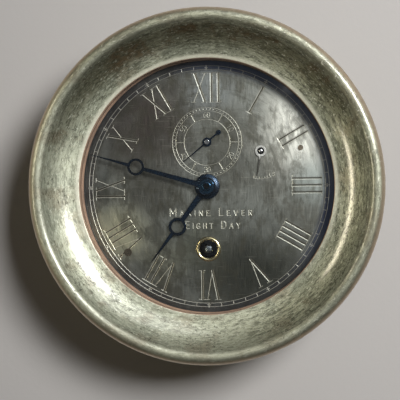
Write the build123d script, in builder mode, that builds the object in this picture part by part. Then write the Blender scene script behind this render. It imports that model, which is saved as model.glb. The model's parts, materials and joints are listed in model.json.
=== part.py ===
from build123d import *
import os
from math import acos, atan2, cos, degrees, floor, pi, radians, sin, sqrt

# Bulkhead clock in a brass case: a flanged drum screwed to the bulkhead, a dished bezel that screws
# on over the glass, an engraved brass dial, and an eight-day lever movement behind it.
#
# Frame: origin at the centre of the case's back face, +Z up, the dial faces -Y.
# A height is a distance in mm in front of the bulkhead, so it runs along -Y.
# A place is an (x, z) pair in mm, seen from the front. Clock angles run clockwise from 12.

os.makedirs("parts", exist_ok=True)

# ---------------------------------------------------------------- driving sizes, mm
bezel_radius = 105.0
aperture_radius = 76.2
lip_height = 58.5
lip_slope = 8.0
cove_radius = 32.0
bead_radius = 4.8
bezel_wall = 3.5
thread_radius = 83.2
thread_pitch = 2.0
thread_grooves = 3
thread_depth = 0.5
running_gap = 0.05

flange_radius = 97.0
flange_thickness = 4.0
flange_screw_circle = 90.5
flange_screw_count = 3
flange_hole_radius = 2.75
flange_hole_sink = 2.2
edge_break = 0.8
floor_thickness = 3.0
case_inner_radius = 79.5
case_front = 50.0

plate_radius = 54.0
plate_thickness = 2.0
back_plate = 6.0
front_plate = 29.0
plate_centre = (0.0, -8.0)
plate_pillar_circle = 49.0

dial_radius = 78.5
dial_back = 42.0
dial_front = 43.5
glass_radius = 79.0
glass_back = 54.5
glass_front = 57.0

hour_hand_height = 46.5
minute_hand_height = 49.5
seconds_hand_height = 44.6
hand_thickness = 0.8
hour_hand_angle = 217.25
minute_hand_angle = 286.0
seconds_hand_angle = 230.8
regulator_angle = 188.6

hand_hole = 4.2
seconds_hole = 1.4
winding_hole = 6.6
regulator_hole = 2.12
dial_screw_hole = 1.35
winding_square = 4.5

pivot_radius = 0.75
pivot_play = 0.2
arbor_radius = 1.25
thin_arbor = 1.0
bush_radius = 1.75
pallet_pivot = 0.4
jewel_radius = 0.9
centre_radius = 1.5
centre_bush = 2.6
barrel_back_pivot = 2.0
barrel_front_pivot = 3.0
barrel_play = 0.06
barrel_back_bush = 3.2
barrel_front_bush = 4.4

# Arbor places. Each pair in mesh stands at the sum of its pitch radii.
centre = (0.0, 0.0)
seconds = (0.0, 27.0)
barrel = (0.0, -38.2)
balance = (32.6, 21.1)


def mesh_place(first, first_distance, other, other_distance, side):
    """The place at two given distances from two places, on the chosen side of the line between them."""
    span_x = other[0] - first[0]
    span_z = other[1] - first[1]
    span = sqrt(span_x**2 + span_z**2)
    along = (first_distance**2 - other_distance**2 + span**2) / (2 * span)
    aside = side * sqrt(first_distance**2 - along**2)
    x = first[0] + (span_x * along - span_z * aside) / span
    z = first[1] + (span_z * along + span_x * aside) / span
    return (x, z)


# Tooth counts and modules (pitch diameter / teeth) of each mesh, wheel first and pinion second.
barrel_mesh = {"wheel": 84, "pinion": 12, "module": 0.55}
second_mesh = {"wheel": 72, "pinion": 12, "module": 0.5}
centre_mesh = {"wheel": 80, "pinion": 10, "module": 0.45}
third_mesh = {"wheel": 75, "pinion": 10, "module": 0.45}
fourth_mesh = {"wheel": 80, "pinion": 10, "module": 0.35}
minute_mesh = {"wheel": 36, "pinion": 12, "module": 0.6}
hour_mesh = {"wheel": 40, "pinion": 10, "module": 0.576}
escape_teeth = 15
ratchet_teeth = 30


def centres_apart(mesh):
    """How far apart the two arbors of a mesh stand."""
    return mesh["module"] * (mesh["wheel"] + mesh["pinion"]) / 2


second = mesh_place(barrel, centres_apart(barrel_mesh), centre, centres_apart(second_mesh), -1)
third = mesh_place(centre, centres_apart(centre_mesh), seconds, centres_apart(third_mesh), 1)
escape_to_pallet = 7.2
pallet_to_balance = 10.18
escape_to_balance = escape_to_pallet + pallet_to_balance
escape = mesh_place(seconds, centres_apart(fourth_mesh), balance, escape_to_balance, -1)
pallet = mesh_place(escape, escape_to_pallet, balance, pallet_to_balance, 1)
minute_stud = (-10.18, -10.18)
click_pivot = (-12.2, -33.75)


# ---------------------------------------------------------------- shapes that repeat


def in_front(height):
    """The plane parallel to the bulkhead at this height, seen from the front."""
    return Plane.XZ.offset(height)


def clock_point(angle, distance, aside=0.0, place=(0, 0)):
    """The place at a clock angle and distance from a place, moved sideways, clockwise, by aside."""
    x = place[0] + distance * sin(radians(angle)) + aside * cos(radians(angle))
    z = place[1] + distance * cos(radians(angle)) - aside * sin(radians(angle))
    return (x, z)


def circle_point(place, radius, angle):
    """The point on a circle at an angle counted anticlockwise from the first axis."""
    return (place[0] + radius * cos(radians(angle)), place[1] + radius * sin(radians(angle)))


def turn(points, place=(0, 0), mode=Mode.ADD):
    """Turn a closed half section of (radius, height) points about the arbor at place."""
    plane = Plane(origin=(place[0], 0, place[1]), x_dir=(1, 0, 0), z_dir=(0, 0, -1))
    with BuildSketch(plane) as section:
        Polygon(*points, align=None)
    revolve(section.sketch, axis=Axis((place[0], 0, place[1]), (0, 1, 0)), mode=mode)


def disc(place, radius, low, high, mode=Mode.ADD):
    """A cylinder about the arbor at place, between two heights."""
    with BuildSketch(in_front(low)) as face:
        with Locations(place):
            Circle(radius)
    extrude(face.sketch, amount=high - low, mode=mode)


def ring(place, outer, inner, low, high):
    """A plain ring about the arbor at place, between two heights."""
    with BuildSketch(in_front(low)) as face:
        with Locations(place):
            Circle(outer)
            Circle(inner, mode=Mode.SUBTRACT)
    extrude(face.sketch, amount=high - low)


def taper(angle, start, start_width, end, end_width, place=(0, 0)):
    """A straight tapered bar on the current sketch, laid along a clock angle from a place."""
    Polygon(
        clock_point(angle, start, -start_width / 2, place),
        clock_point(angle, start, start_width / 2, place),
        clock_point(angle, end, end_width / 2, place),
        clock_point(angle, end, -end_width / 2, place),
        align=None,
    )


def bar(start, end, width):
    """A round-ended bar on the current sketch between two places."""
    angle = degrees(atan2(end[0] - start[0], end[1] - start[1]))
    length = sqrt((end[0] - start[0]) ** 2 + (end[1] - start[1]) ** 2)
    taper(angle, 0, width, length, width, start)
    with Locations(start, end):
        Circle(width / 2)


def screw(place, head_radius, head_low, head_high, shank_radius, shank_low):
    """A slotted cheese-head screw that points away from the viewer."""
    disc(place, head_radius, head_low, head_high)
    disc(place, shank_radius, shank_low, head_low)
    slot_depth = 0.4 * (head_high - head_low)
    with BuildSketch(in_front(head_high - slot_depth)) as slot:
        with Locations(place):
            Rectangle(2.2 * head_radius, 0.3 * head_radius, rotation=35)
    extrude(slot.sketch, amount=slot_depth, mode=Mode.SUBTRACT)


def tooth_outline(place, teeth, phase, profile):
    """The closed outline of a toothed wheel: each tooth is its (radius, half width) points, root first."""
    points = []
    for tooth in range(teeth):
        middle = phase + 360.0 / teeth * tooth
        for radius, half_width in profile:
            points.append(circle_point(place, radius, middle - degrees(half_width / radius)))
        for radius, half_width in reversed(profile):
            points.append(circle_point(place, radius, middle + degrees(half_width / radius)))
    return points


def wheel_profile(mesh):
    """A clock wheel's tooth: radial below the pitch circle, tapering to a blunt tip above it."""
    module = mesh["module"]
    pitch_radius = module * mesh["wheel"] / 2
    half_width = 0.23 * pi * module
    root_radius = pitch_radius - 0.9 * module
    return [
        (root_radius, half_width * root_radius / pitch_radius),
        (pitch_radius, half_width),
        (pitch_radius + 1.0 * module, 0.5 * half_width),
    ]


def pinion_profile(mesh):
    """A clock pinion's leaf: thin and radial, with a rounded top."""
    module = mesh["module"]
    pitch_radius = module * mesh["pinion"] / 2
    half_width = 0.19 * pi * module
    root_radius = pitch_radius - 1.25 * module
    return [
        (root_radius, half_width * root_radius / pitch_radius),
        (pitch_radius, half_width),
        (pitch_radius + 0.35 * module, 0.75 * half_width),
        (pitch_radius + 0.55 * module, 0.3 * half_width),
    ]


def meshed_phase(wheel_place, pinion_place, mesh, wheel_phase=0.0):
    """The pinion's phase that puts one of its gaps on the wheel's tooth at the line of centres."""
    line = degrees(atan2(pinion_place[1] - wheel_place[1], pinion_place[0] - wheel_place[0]))
    pitch = 360.0 / mesh["wheel"]
    offset = wheel_phase - line
    offset -= pitch * floor(offset / pitch + 0.5)
    return line + 180 - offset * mesh["wheel"] / mesh["pinion"] + 180.0 / mesh["pinion"]


def toothed_wheel(place, mesh, low, high, hub, bore, spokes, phase=0.0):
    """A crossed-out brass wheel: teeth, rim, spokes, hub and bore."""
    rim_radius = mesh["module"] * mesh["wheel"] / 2 - 3.0 * mesh["module"] - 0.6
    with BuildSketch(in_front(low)) as face:
        Polygon(*tooth_outline(place, mesh["wheel"], phase, wheel_profile(mesh)), align=None)
        with Locations(place):
            Circle(rim_radius, mode=Mode.SUBTRACT)
            Circle(hub)
        for spoke in range(spokes):
            taper(360 / spokes * spoke, hub - 1, 2.2, rim_radius + 0.5, 1.5, place)
        with Locations(place):
            Circle(bore, mode=Mode.SUBTRACT)
    extrude(face.sketch, amount=high - low)


def pinion(place, mesh, low, high, phase):
    """The leaves of a pinion, cut in one with its arbor."""
    with BuildSketch(in_front(low)) as face:
        Polygon(*tooth_outline(place, mesh["pinion"], phase, pinion_profile(mesh)), align=None)
    extrude(face.sketch, amount=high - low)


def finish(piece, name):
    """Name a finished piece and write it out."""
    piece.part.label = name
    export_step(piece.part, f"parts/{name}.step")


# ---------------------------------------------------------------- places worked out from the sizes

plate_front = back_plate + plate_thickness
front_plate_front = front_plate + plate_thickness
pillar_angles = (5, 110, 175, 215, 325)
screw_angles = (60, 193, 347)
flange_screw_angles = [90 + 360 / flange_screw_count * k for k in range(flange_screw_count)]
pillar_places = [circle_point(plate_centre, plate_pillar_circle, angle) for angle in pillar_angles]
movement_screw_places = [circle_point(plate_centre, plate_pillar_circle, angle) for angle in screw_angles]
dial_screw_places = [clock_point(231.2, 63.7), clock_point(68.1, 61.0)]
dial_screw_heads = [2.4, 1.6]
flange_screw_places = [circle_point((0, 0), flange_screw_circle, angle) for angle in flange_screw_angles]
cock_foot = clock_point(150, 15.5, place=balance)
bridge_feet = [clock_point(279, 9.6, place=escape), clock_point(9, 9.6, place=pallet)]
lever_line = degrees(atan2(balance[0] - pallet[0], balance[1] - pallet[1]))
pallet_line = degrees(atan2(escape[0] - pallet[0], escape[1] - pallet[1]))

# ---------------------------------------------------------------- case

with BuildPart() as case_body:
    turn(
        [
            (0, 0),
            (flange_radius, 0),
            (flange_radius, flange_thickness - edge_break),
            (flange_radius - edge_break, flange_thickness),
            (thread_radius + 1.5, flange_thickness),
            (thread_radius, flange_thickness + 1.5),
            (thread_radius, case_front - 0.6),
            (thread_radius - 0.6, case_front),
            (case_inner_radius, case_front),
            (case_inner_radius, floor_thickness),
            (0, floor_thickness),
        ]
    )
    for groove in range(thread_grooves):
        middle = case_front - edge_break - thread_pitch * (groove + 0.4)
        groove_front = (thread_radius + thread_depth, middle + 0.8)
        groove_root = (thread_radius - thread_depth, middle)
        groove_back = (thread_radius + thread_depth, middle - 0.8)
        turn([groove_front, groove_root, groove_back], mode=Mode.SUBTRACT)
    for place in movement_screw_places:
        disc(place, 4.0, floor_thickness - 0.5, back_plate)
        disc(place, 1.25, floor_thickness - 2.0, back_plate, Mode.SUBTRACT)
    for place in dial_screw_places:
        disc(place, 2.0, floor_thickness - 1.6, floor_thickness, Mode.SUBTRACT)
    for place in flange_screw_places:
        turn(
            [
                (0, -1),
                (flange_hole_radius, -1),
                (flange_hole_radius, flange_thickness - flange_hole_sink),
                (flange_hole_radius + flange_hole_sink, flange_thickness),
                (flange_hole_radius + flange_hole_sink, flange_thickness + 1),
                (0, flange_thickness + 1),
            ],
            place,
            Mode.SUBTRACT,
        )
finish(case_body, "case_body")

# ---------------------------------------------------------------- bezel, glass and seals

cove_centre = circle_point((aperture_radius, lip_height), cove_radius, 90 + lip_slope)
bead_angle = degrees(acos((bezel_radius - bead_radius - cove_centre[0]) / (cove_radius + bead_radius)))
bead_centre = circle_point(cove_centre, cove_radius + bead_radius, -bead_angle)
back_radius = cove_radius + bezel_wall
skirt_wall = 3.7
skirt_radius = thread_radius + running_gap + skirt_wall
skirt_angle = degrees(acos((skirt_radius - cove_centre[0]) / back_radius))
skirt_end = 44.0
gasket_seat = case_front + 1.0
ring_bore = 81.0
bead_wrap = 60
back_overlap = 8

with BuildPart() as bezel:
    with BuildSketch(Plane(origin=(0, 0, 0), x_dir=(1, 0, 0), z_dir=(0, 0, -1))):
        with BuildLine():
            lip = (aperture_radius, lip_height)
            bead_start = circle_point(cove_centre, cove_radius, -bead_angle)
            bead_end = circle_point(bead_centre, bead_radius, -bead_wrap)
            cove_back = circle_point(cove_centre, back_radius, -bead_angle - back_overlap)
            skirt_top = circle_point(cove_centre, back_radius, -skirt_angle)
            cove_middle = circle_point(cove_centre, cove_radius, -(90 - lip_slope + bead_angle) / 2)
            bead_middle = circle_point(bead_centre, bead_radius, (180 - bead_angle - bead_wrap) / 2)
            back_middle_angle = -(bead_angle + back_overlap + skirt_angle) / 2
            back_middle = circle_point(cove_centre, back_radius, back_middle_angle)
            ThreePointArc(lip, cove_middle, bead_start)
            ThreePointArc(bead_start, bead_middle, bead_end)
            Line(bead_end, cove_back)
            ThreePointArc(cove_back, back_middle, skirt_top)
            Polyline(
                skirt_top,
                (skirt_radius, skirt_end + edge_break),
                (skirt_radius - edge_break, skirt_end),
                (thread_radius + running_gap, skirt_end),
                (thread_radius + running_gap, gasket_seat),
                (ring_bore, gasket_seat),
                (ring_bore, glass_back - 0.1),
                (glass_radius + 0.3, glass_back - 0.1),
                (glass_radius + 0.3, glass_front),
                (aperture_radius, glass_front),
                lip,
            )
        make_face()
    revolve(axis=Axis.Y)
finish(bezel, "bezel")

with BuildPart() as glass:
    edge = 0.4
    turn(
        [
            (0, glass_back),
            (glass_radius - edge, glass_back),
            (glass_radius, glass_back + edge),
            (glass_radius, glass_front - edge),
            (glass_radius - edge, glass_front),
            (0, glass_front),
        ]
    )
finish(glass, "glass")

with BuildPart() as glass_ring:
    turn(
        [
            (aperture_radius + 0.3, gasket_seat + 0.9),
            (aperture_radius + 0.9, gasket_seat + 0.3),
            (ring_bore - 0.1, gasket_seat + 0.3),
            (ring_bore - 0.1, glass_back - 0.1),
            (aperture_radius + 0.3, glass_back - 0.1),
        ]
    )
finish(glass_ring, "glass_retaining_ring")

with BuildPart() as bezel_gasket:
    ring((0, 0), thread_radius - 0.4, case_inner_radius + 0.4, case_front, gasket_seat)
finish(bezel_gasket, "bezel_gasket")

# ---------------------------------------------------------------- dial and what stands on it

with BuildPart() as dial:
    disc((0, 0), dial_radius, dial_back, dial_front)
    disc(centre, hand_hole, dial_back, dial_front, Mode.SUBTRACT)
    disc(seconds, seconds_hole, dial_back, dial_front, Mode.SUBTRACT)
    disc(barrel, winding_hole, dial_back, dial_front, Mode.SUBTRACT)
    disc(balance, regulator_hole, dial_back, dial_front, Mode.SUBTRACT)
    for place in dial_screw_places:
        disc(place, dial_screw_hole, dial_back, dial_front, Mode.SUBTRACT)
finish(dial, "dial")

with BuildPart() as dial_ring:
    turn(
        [
            (aperture_radius + 0.1, dial_front),
            (case_inner_radius - 0.1, dial_front),
            (case_inner_radius - 0.1, case_front - 0.3),
            (aperture_radius + 1.4, case_front - 0.3),
            (aperture_radius + 1.4, dial_front + 3.0),
            (aperture_radius + 0.1, dial_front + 1.6),
        ]
    )
finish(dial_ring, "dial_ring")

with BuildPart() as winding_hole_bush:
    bush_bore = winding_hole - 1.2
    lip_radius = winding_hole + 1.05
    turn(
        [
            (bush_bore, dial_back - 1.0),
            (winding_hole, dial_back - 1.0),
            (winding_hole, dial_front),
            (lip_radius, dial_front),
            (lip_radius, dial_front + 0.3),
            (lip_radius - 0.55, dial_front + 0.8),
            (bush_bore + 0.8, dial_front + 0.8),
            (bush_bore, dial_front + 0.1),
        ],
        barrel,
    )
finish(winding_hole_bush, "winding_hole_bush")

with BuildPart() as dial_posts:
    for place in dial_screw_places:
        disc(place, 3.0, floor_thickness, dial_back)
        disc(place, 2.0, floor_thickness - 1.5, floor_thickness)
        disc(place, 1.25, dial_back - 8.0, dial_back, Mode.SUBTRACT)
finish(dial_posts, "dial_posts")

with BuildPart() as dial_screws:
    for place, head in zip(dial_screw_places, dial_screw_heads):
        screw(place, head, dial_front, dial_front + 0.8, 1.2, dial_back - 5.0)
finish(dial_screws, "dial_screws")

# ---------------------------------------------------------------- movement frame

going_places = [second, third, seconds, escape]

with BuildPart() as back_plate_part:
    disc(plate_centre, plate_radius, back_plate, plate_front)
    for place in going_places + [centre]:
        disc(place, bush_radius, back_plate, plate_front, Mode.SUBTRACT)
    disc(barrel, barrel_back_bush, back_plate, plate_front, Mode.SUBTRACT)
    for place in pillar_places:
        disc(place, 1.5, back_plate, plate_front, Mode.SUBTRACT)
    for place in movement_screw_places:
        disc(place, 1.4, back_plate, plate_front, Mode.SUBTRACT)
finish(back_plate_part, "back_plate")

with BuildPart() as front_plate_part:
    disc(plate_centre, plate_radius, front_plate, front_plate_front)
    for place in going_places + [balance]:
        disc(place, bush_radius, front_plate, front_plate_front, Mode.SUBTRACT)
    disc(centre, centre_bush, front_plate, front_plate_front, Mode.SUBTRACT)
    disc(barrel, barrel_front_bush, front_plate, front_plate_front, Mode.SUBTRACT)
    disc(pallet, jewel_radius, front_plate, front_plate_front, Mode.SUBTRACT)
    for place in pillar_places:
        disc(place, 1.25, front_plate, front_plate_front, Mode.SUBTRACT)
finish(front_plate_part, "front_plate")

with BuildPart() as plate_bushes:
    for place in going_places:
        ring(place, bush_radius, pivot_radius + running_gap, back_plate, plate_front)
        ring(place, bush_radius, pivot_radius + running_gap, front_plate, front_plate_front)
    ring(centre, bush_radius, pivot_radius + running_gap, back_plate, plate_front)
    ring(centre, centre_bush, centre_radius + running_gap, front_plate, front_plate_front)
    ring(barrel, barrel_back_bush, barrel_back_pivot + barrel_play, back_plate, plate_front)
    ring(barrel, barrel_front_bush, barrel_front_pivot + barrel_play, front_plate, front_plate_front)
finish(plate_bushes, "plate_bushes")

with BuildPart() as front_jewels:
    ring(balance, bush_radius, pivot_radius + running_gap, front_plate, front_plate_front)
    ring(pallet, jewel_radius, pallet_pivot + running_gap, front_plate, front_plate_front)
finish(front_jewels, "front_jewels")

with BuildPart() as plate_pillars:
    for place in pillar_places:
        disc(place, 3.0, plate_front, front_plate)
        disc(place, 1.5, back_plate, plate_front)
        disc(place, 1.2, front_plate - 8.0, front_plate, Mode.SUBTRACT)
finish(plate_pillars, "plate_pillars")

with BuildPart() as plate_screws:
    for place in pillar_places:
        screw(place, 2.4, front_plate_front, front_plate_front + 1.4, 1.15, front_plate - 6.0)
finish(plate_screws, "plate_screws")

with BuildPart() as movement_screws:
    for place in movement_screw_places:
        screw(place, 2.6, plate_front, plate_front + 1.5, 1.2, floor_thickness - 1.5)
finish(movement_screws, "movement_screws")

# ---------------------------------------------------------------- barrel, winding work

barrel_low = 9.5
barrel_high = 22.0
drum_radius = 21.0
drum_wall = 1.2
drum_bore = barrel_front_pivot + barrel_play
cover_low = barrel_high - 1.0
tooth_depth = 2.5

with BuildPart() as barrel_drum:
    with BuildSketch(in_front(barrel_low)) as barrel_teeth:
        Polygon(*tooth_outline(barrel, barrel_mesh["wheel"], 0, wheel_profile(barrel_mesh)), align=None)
    extrude(barrel_teeth.sketch, amount=tooth_depth)
    disc(barrel, drum_radius, barrel_low + tooth_depth, cover_low)
    disc(barrel, drum_radius - drum_wall, barrel_low + tooth_depth - 1.0, cover_low, Mode.SUBTRACT)
    disc(barrel, drum_bore, barrel_low, barrel_high, Mode.SUBTRACT)
finish(barrel_drum, "barrel_drum")

with BuildPart() as barrel_cover:
    ring(barrel, drum_radius, drum_bore, cover_low, barrel_high)
finish(barrel_cover, "barrel_cover")

spring_coils = 7
spring_inner = 5.2
spring_pitch = 1.9
spring_thickness = 0.7
spring_height = 8.6
cut_side = 100

with BuildPart() as mainspring:
    with BuildSketch(in_front(barrel_low + 1.9)) as spring_face:
        for coil in range(spring_coils):
            start = spring_inner + spring_pitch * coil
            edges = [start, start + spring_pitch / 2, start + spring_pitch]
            for half, side in enumerate((1, -1)):
                middle_x = barrel[0] + side * (edges[half] - edges[half + 1]) / 2
                middle_radius = (edges[half] + edges[half + 1]) / 2
                with Locations((middle_x, barrel[1])):
                    with BuildSketch(mode=Mode.PRIVATE) as half_ring:
                        Circle(middle_radius + spring_thickness / 2)
                        Circle(middle_radius - spring_thickness / 2, mode=Mode.SUBTRACT)
                        with Locations((0, -side * cut_side / 2)):
                            Rectangle(cut_side, cut_side, mode=Mode.SUBTRACT)
                    add(half_ring.sketch)
    extrude(spring_face.sketch, amount=spring_height)
finish(mainspring, "mainspring")

with BuildPart() as barrel_arbor:
    core_radius = 4.2
    core_low = barrel_low + 1.8
    core_high = barrel_high - 1.2
    square_low = front_plate_front + 1.9
    square_high = dial_front - 0.4
    turn(
        [
            (0, back_plate + pivot_play),
            (barrel_back_pivot, back_plate + pivot_play),
            (barrel_back_pivot, plate_front + 0.3),
            (barrel_front_pivot, plate_front + 0.3),
            (barrel_front_pivot, core_low),
            (core_radius, core_low),
            (core_radius, core_high),
            (barrel_front_pivot, core_high),
            (barrel_front_pivot, square_low),
            (0, square_low),
        ],
        barrel,
    )
    with BuildSketch(in_front(square_low)):
        with Locations(barrel):
            Rectangle(winding_square, winding_square)
    extrude(amount=square_high - square_low)
    fillet(barrel_arbor.faces().sort_by(Axis.Y)[0].edges(), 1.3)
finish(barrel_arbor, "barrel_arbor")

ratchet_low = front_plate_front + 0.3
ratchet_high = front_plate_front + 1.8
ratchet_root = 8.2
ratchet_radius = 9.0

with BuildPart() as ratchet_wheel:
    with BuildSketch(in_front(ratchet_low)):
        saw = []
        for tooth in range(ratchet_teeth):
            start = 360.0 / ratchet_teeth * tooth
            saw.append(circle_point(barrel, ratchet_root, start))
            saw.append(circle_point(barrel, ratchet_radius, start))
        Polygon(*saw, align=None)
        with Locations(barrel):
            Circle(barrel_front_pivot, mode=Mode.SUBTRACT)
    extrude(amount=ratchet_high - ratchet_low)
finish(ratchet_wheel, "ratchet_wheel")

click_tip = circle_point(barrel, ratchet_radius + 0.2, 125)
click_bore = 1.25

with BuildPart() as click:
    with BuildSketch(in_front(ratchet_low)):
        Polygon(
            click_tip,
            (click_tip[0] + 0.1, click_tip[1] + 1.4),
            (click_pivot[0] + 0.4, click_pivot[1] + 2.2),
            (click_pivot[0] + 0.4, click_pivot[1] - 0.6),
            align=None,
        )
        with Locations(click_pivot):
            Circle(2.3)
            Circle(click_bore, mode=Mode.SUBTRACT)
    extrude(amount=ratchet_high - ratchet_low)
finish(click, "click")

with BuildPart() as click_screw:
    shank = click_bore - running_gap
    screw(click_pivot, 2.2, ratchet_high + 0.1, ratchet_high + 1.0, shank, front_plate_front)
finish(click_screw, "click_screw")

with BuildPart() as click_spring:
    spring_foot = (click_pivot[0] - 6.0, click_pivot[1] + 5.5)
    with BuildSketch(in_front(ratchet_low)):
        bar(spring_foot, (click_pivot[0] + 2.5, click_pivot[1] + 3.7), 0.5)
        with Locations(spring_foot):
            Circle(1.8)
    extrude(amount=1.2)
    disc(spring_foot, 1.8, front_plate_front, ratchet_low)
finish(click_spring, "click_spring")

# ---------------------------------------------------------------- going train


def plain_arbor(place, radius, front_end=None):
    """An arbor between the plates: two pivots and a thicker body, the front pivot drawn out if wanted."""
    tip = front_end or front_plate_front - pivot_play
    turn(
        [
            (0, back_plate + pivot_play),
            (pivot_radius, back_plate + pivot_play),
            (pivot_radius, plate_front + pivot_play),
            (radius, plate_front + pivot_play),
            (radius, front_plate - pivot_play),
            (pivot_radius, front_plate - pivot_play),
            (pivot_radius, tip),
            (0, tip),
        ],
        place,
    )


with BuildPart() as second_arbor:
    plain_arbor(second, arbor_radius)
    pinion(second, barrel_mesh, 9.0, 12.5, meshed_phase(barrel, second, barrel_mesh))
finish(second_arbor, "second_arbor")

with BuildPart() as second_wheel:
    toothed_wheel(second, second_mesh, 23.0, 24.5, 3.2, arbor_radius, 5)
finish(second_wheel, "second_wheel")

with BuildPart() as centre_arbor:
    hand_spindle = 1.0
    spindle_end = minute_hand_height + 2.7
    turn(
        [
            (0, back_plate + pivot_play),
            (pivot_radius, back_plate + pivot_play),
            (pivot_radius, plate_front + pivot_play),
            (centre_radius, plate_front + pivot_play),
            (centre_radius, front_plate_front + 0.1),
            (hand_spindle, front_plate_front + 0.1),
            (hand_spindle, spindle_end),
            (0, spindle_end),
        ]
    )
    pinion(centre, second_mesh, 22.5, 25.5, meshed_phase(second, centre, second_mesh))
finish(centre_arbor, "centre_arbor")

with BuildPart() as centre_wheel:
    toothed_wheel(centre, centre_mesh, 26.5, 27.7, 3.2, centre_radius, 5)
finish(centre_wheel, "centre_wheel")

with BuildPart() as third_arbor:
    plain_arbor(third, arbor_radius)
    pinion(third, centre_mesh, 26.0, 28.2, meshed_phase(centre, third, centre_mesh))
finish(third_arbor, "third_arbor")

with BuildPart() as third_wheel:
    toothed_wheel(third, third_mesh, 17.0, 18.2, 3.0, arbor_radius, 5)
finish(third_wheel, "third_wheel")

with BuildPart() as fourth_arbor:
    plain_arbor(seconds, thin_arbor, seconds_hand_height + 0.7)
    pinion(seconds, third_mesh, 16.5, 18.7, meshed_phase(third, seconds, third_mesh))
finish(fourth_arbor, "fourth_arbor")

with BuildPart() as fourth_wheel:
    toothed_wheel(seconds, fourth_mesh, 22.0, 23.0, 2.6, thin_arbor, 5)
finish(fourth_wheel, "fourth_wheel")

# ---------------------------------------------------------------- escapement

escape_radius = 5.5
escape_low = front_plate_front + 1.5
escape_high = escape_low + 0.8
bridge_low = front_plate_front + 3.3
bridge_high = bridge_low + 1.3
bridge_width = 4.4

with BuildPart() as escape_arbor:
    plain_arbor(escape, thin_arbor, bridge_low - pivot_play)
    disc(escape, pallet_pivot, bridge_low - pivot_play, bridge_high - pivot_play)
    pinion(escape, fourth_mesh, 21.5, 23.5, meshed_phase(seconds, escape, fourth_mesh))
finish(escape_arbor, "escape_arbor")

with BuildPart() as escape_wheel:
    with BuildSketch(in_front(escape_low)):
        club = []
        for tooth in range(escape_teeth):
            start = 360.0 / escape_teeth * tooth
            club.append(circle_point(escape, escape_radius - 1.5, start - 2))
            club.append(circle_point(escape, escape_radius, start + 3))
            club.append(circle_point(escape, escape_radius, start + 7))
            club.append(circle_point(escape, escape_radius - 1.5, start + 8))
        Polygon(*club, align=None)
        with Locations(escape):
            Circle(escape_radius - 2.3, mode=Mode.SUBTRACT)
            Circle(1.4)
        for spoke in range(4):
            taper(90 * spoke, 1.0, 0.7, escape_radius - 2.0, 0.6, escape)
        with Locations(escape):
            Circle(pivot_radius, mode=Mode.SUBTRACT)
    extrude(amount=escape_high - escape_low)
finish(escape_wheel, "escape_wheel")

lever_low = front_plate_front + 1.7
lever_high = front_plate_front + 2.7
fork_end = pallet_to_balance - 2.85

with BuildPart() as pallet_lever:
    with BuildSketch(in_front(lever_low)):
        for side in (1, -1):
            stone = clock_point(pallet_line + 180 + 30 * side, 6.4, place=escape)
            bar(pallet, stone, 0.8)
        bar(pallet, clock_point(lever_line, fork_end - 1.4, place=pallet), 1.0)
        for side in (1, -1):
            start = clock_point(lever_line, fork_end - 1.4, place=pallet)
            horn = clock_point(lever_line, fork_end - 0.25, 0.75 * side, pallet)
            bar(start, horn, 0.5)
        with Locations(pallet):
            Circle(1.2)
    extrude(amount=lever_high - lever_low)
    disc(pallet, 0.7, front_plate_front + pivot_play, bridge_low - pivot_play)
    disc(pallet, pallet_pivot, front_plate + 1.0, bridge_high - pivot_play)
finish(pallet_lever, "pallet_lever")

with BuildPart() as pallet_bridge:
    with BuildSketch(in_front(bridge_low)):
        bar(bridge_feet[0], escape, bridge_width)
        bar(escape, pallet, bridge_width)
        bar(pallet, bridge_feet[1], bridge_width)
    extrude(amount=bridge_high - bridge_low)
    for place in bridge_feet:
        disc(place, bridge_width / 2, front_plate_front, bridge_low)
        disc(place, 0.9, front_plate_front, bridge_high, Mode.SUBTRACT)
    for place in (escape, pallet):
        disc(place, pallet_pivot + running_gap, bridge_low, bridge_high, Mode.SUBTRACT)
finish(pallet_bridge, "pallet_bridge")

with BuildPart() as bridge_screws:
    for place in bridge_feet:
        screw(place, 1.6, bridge_high, bridge_high + 0.5, 0.85, front_plate_front)
finish(bridge_screws, "bridge_screws")

with BuildPart() as banking_pins:
    for side in (1, -1):
        place = clock_point(lever_line, 5.0, 1.45 * side, pallet)
        disc(place, 0.35, front_plate_front, lever_high + 0.2)
finish(banking_pins, "banking_pins")

# ---------------------------------------------------------------- balance and its cock

rim_low = front_plate_front + 5.2
rim_high = rim_low + 2.0
rim_radius = 11.0
cock_low = front_plate_front + 8.6
cock_high = cock_low + 1.6
cock_screw_seat = cock_high - 1.0
staff_radius = 1.2

with BuildPart() as balance_staff:
    turn(
        [
            (0, front_plate + pivot_play),
            (pivot_radius, front_plate + pivot_play),
            (pivot_radius, front_plate_front + pivot_play),
            (staff_radius, front_plate_front + pivot_play),
            (staff_radius, cock_low - pivot_play),
            (pivot_radius, cock_low - pivot_play),
            (pivot_radius, cock_high - 0.3),
            (0, cock_high - 0.3),
        ],
        balance,
    )
finish(balance_staff, "balance_staff")

with BuildPart() as balance_wheel:
    with BuildSketch(in_front(rim_low)):
        with Locations(balance):
            Circle(rim_radius)
            Circle(rim_radius - 1.5, mode=Mode.SUBTRACT)
            Circle(2.4)
        for arm in range(3):
            taper(120 * arm, 2.0, 1.8, rim_radius - 1.2, 1.3, balance)
        with Locations(balance):
            Circle(staff_radius, mode=Mode.SUBTRACT)
    extrude(amount=rim_high - rim_low)
finish(balance_wheel, "balance_wheel")

with BuildPart() as roller:
    roller_low = front_plate_front + 3.4
    ring(balance, 3.0, staff_radius, roller_low, roller_low + 0.8)
    impulse_pin = clock_point(lever_line + 180, 2.2, place=balance)
    disc(impulse_pin, 0.3, lever_low + 0.2, roller_low)
finish(roller, "roller")

hair_coils = 5
hair_inner = 1.9
hair_pitch = 0.75
hair_half = 0.12

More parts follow.
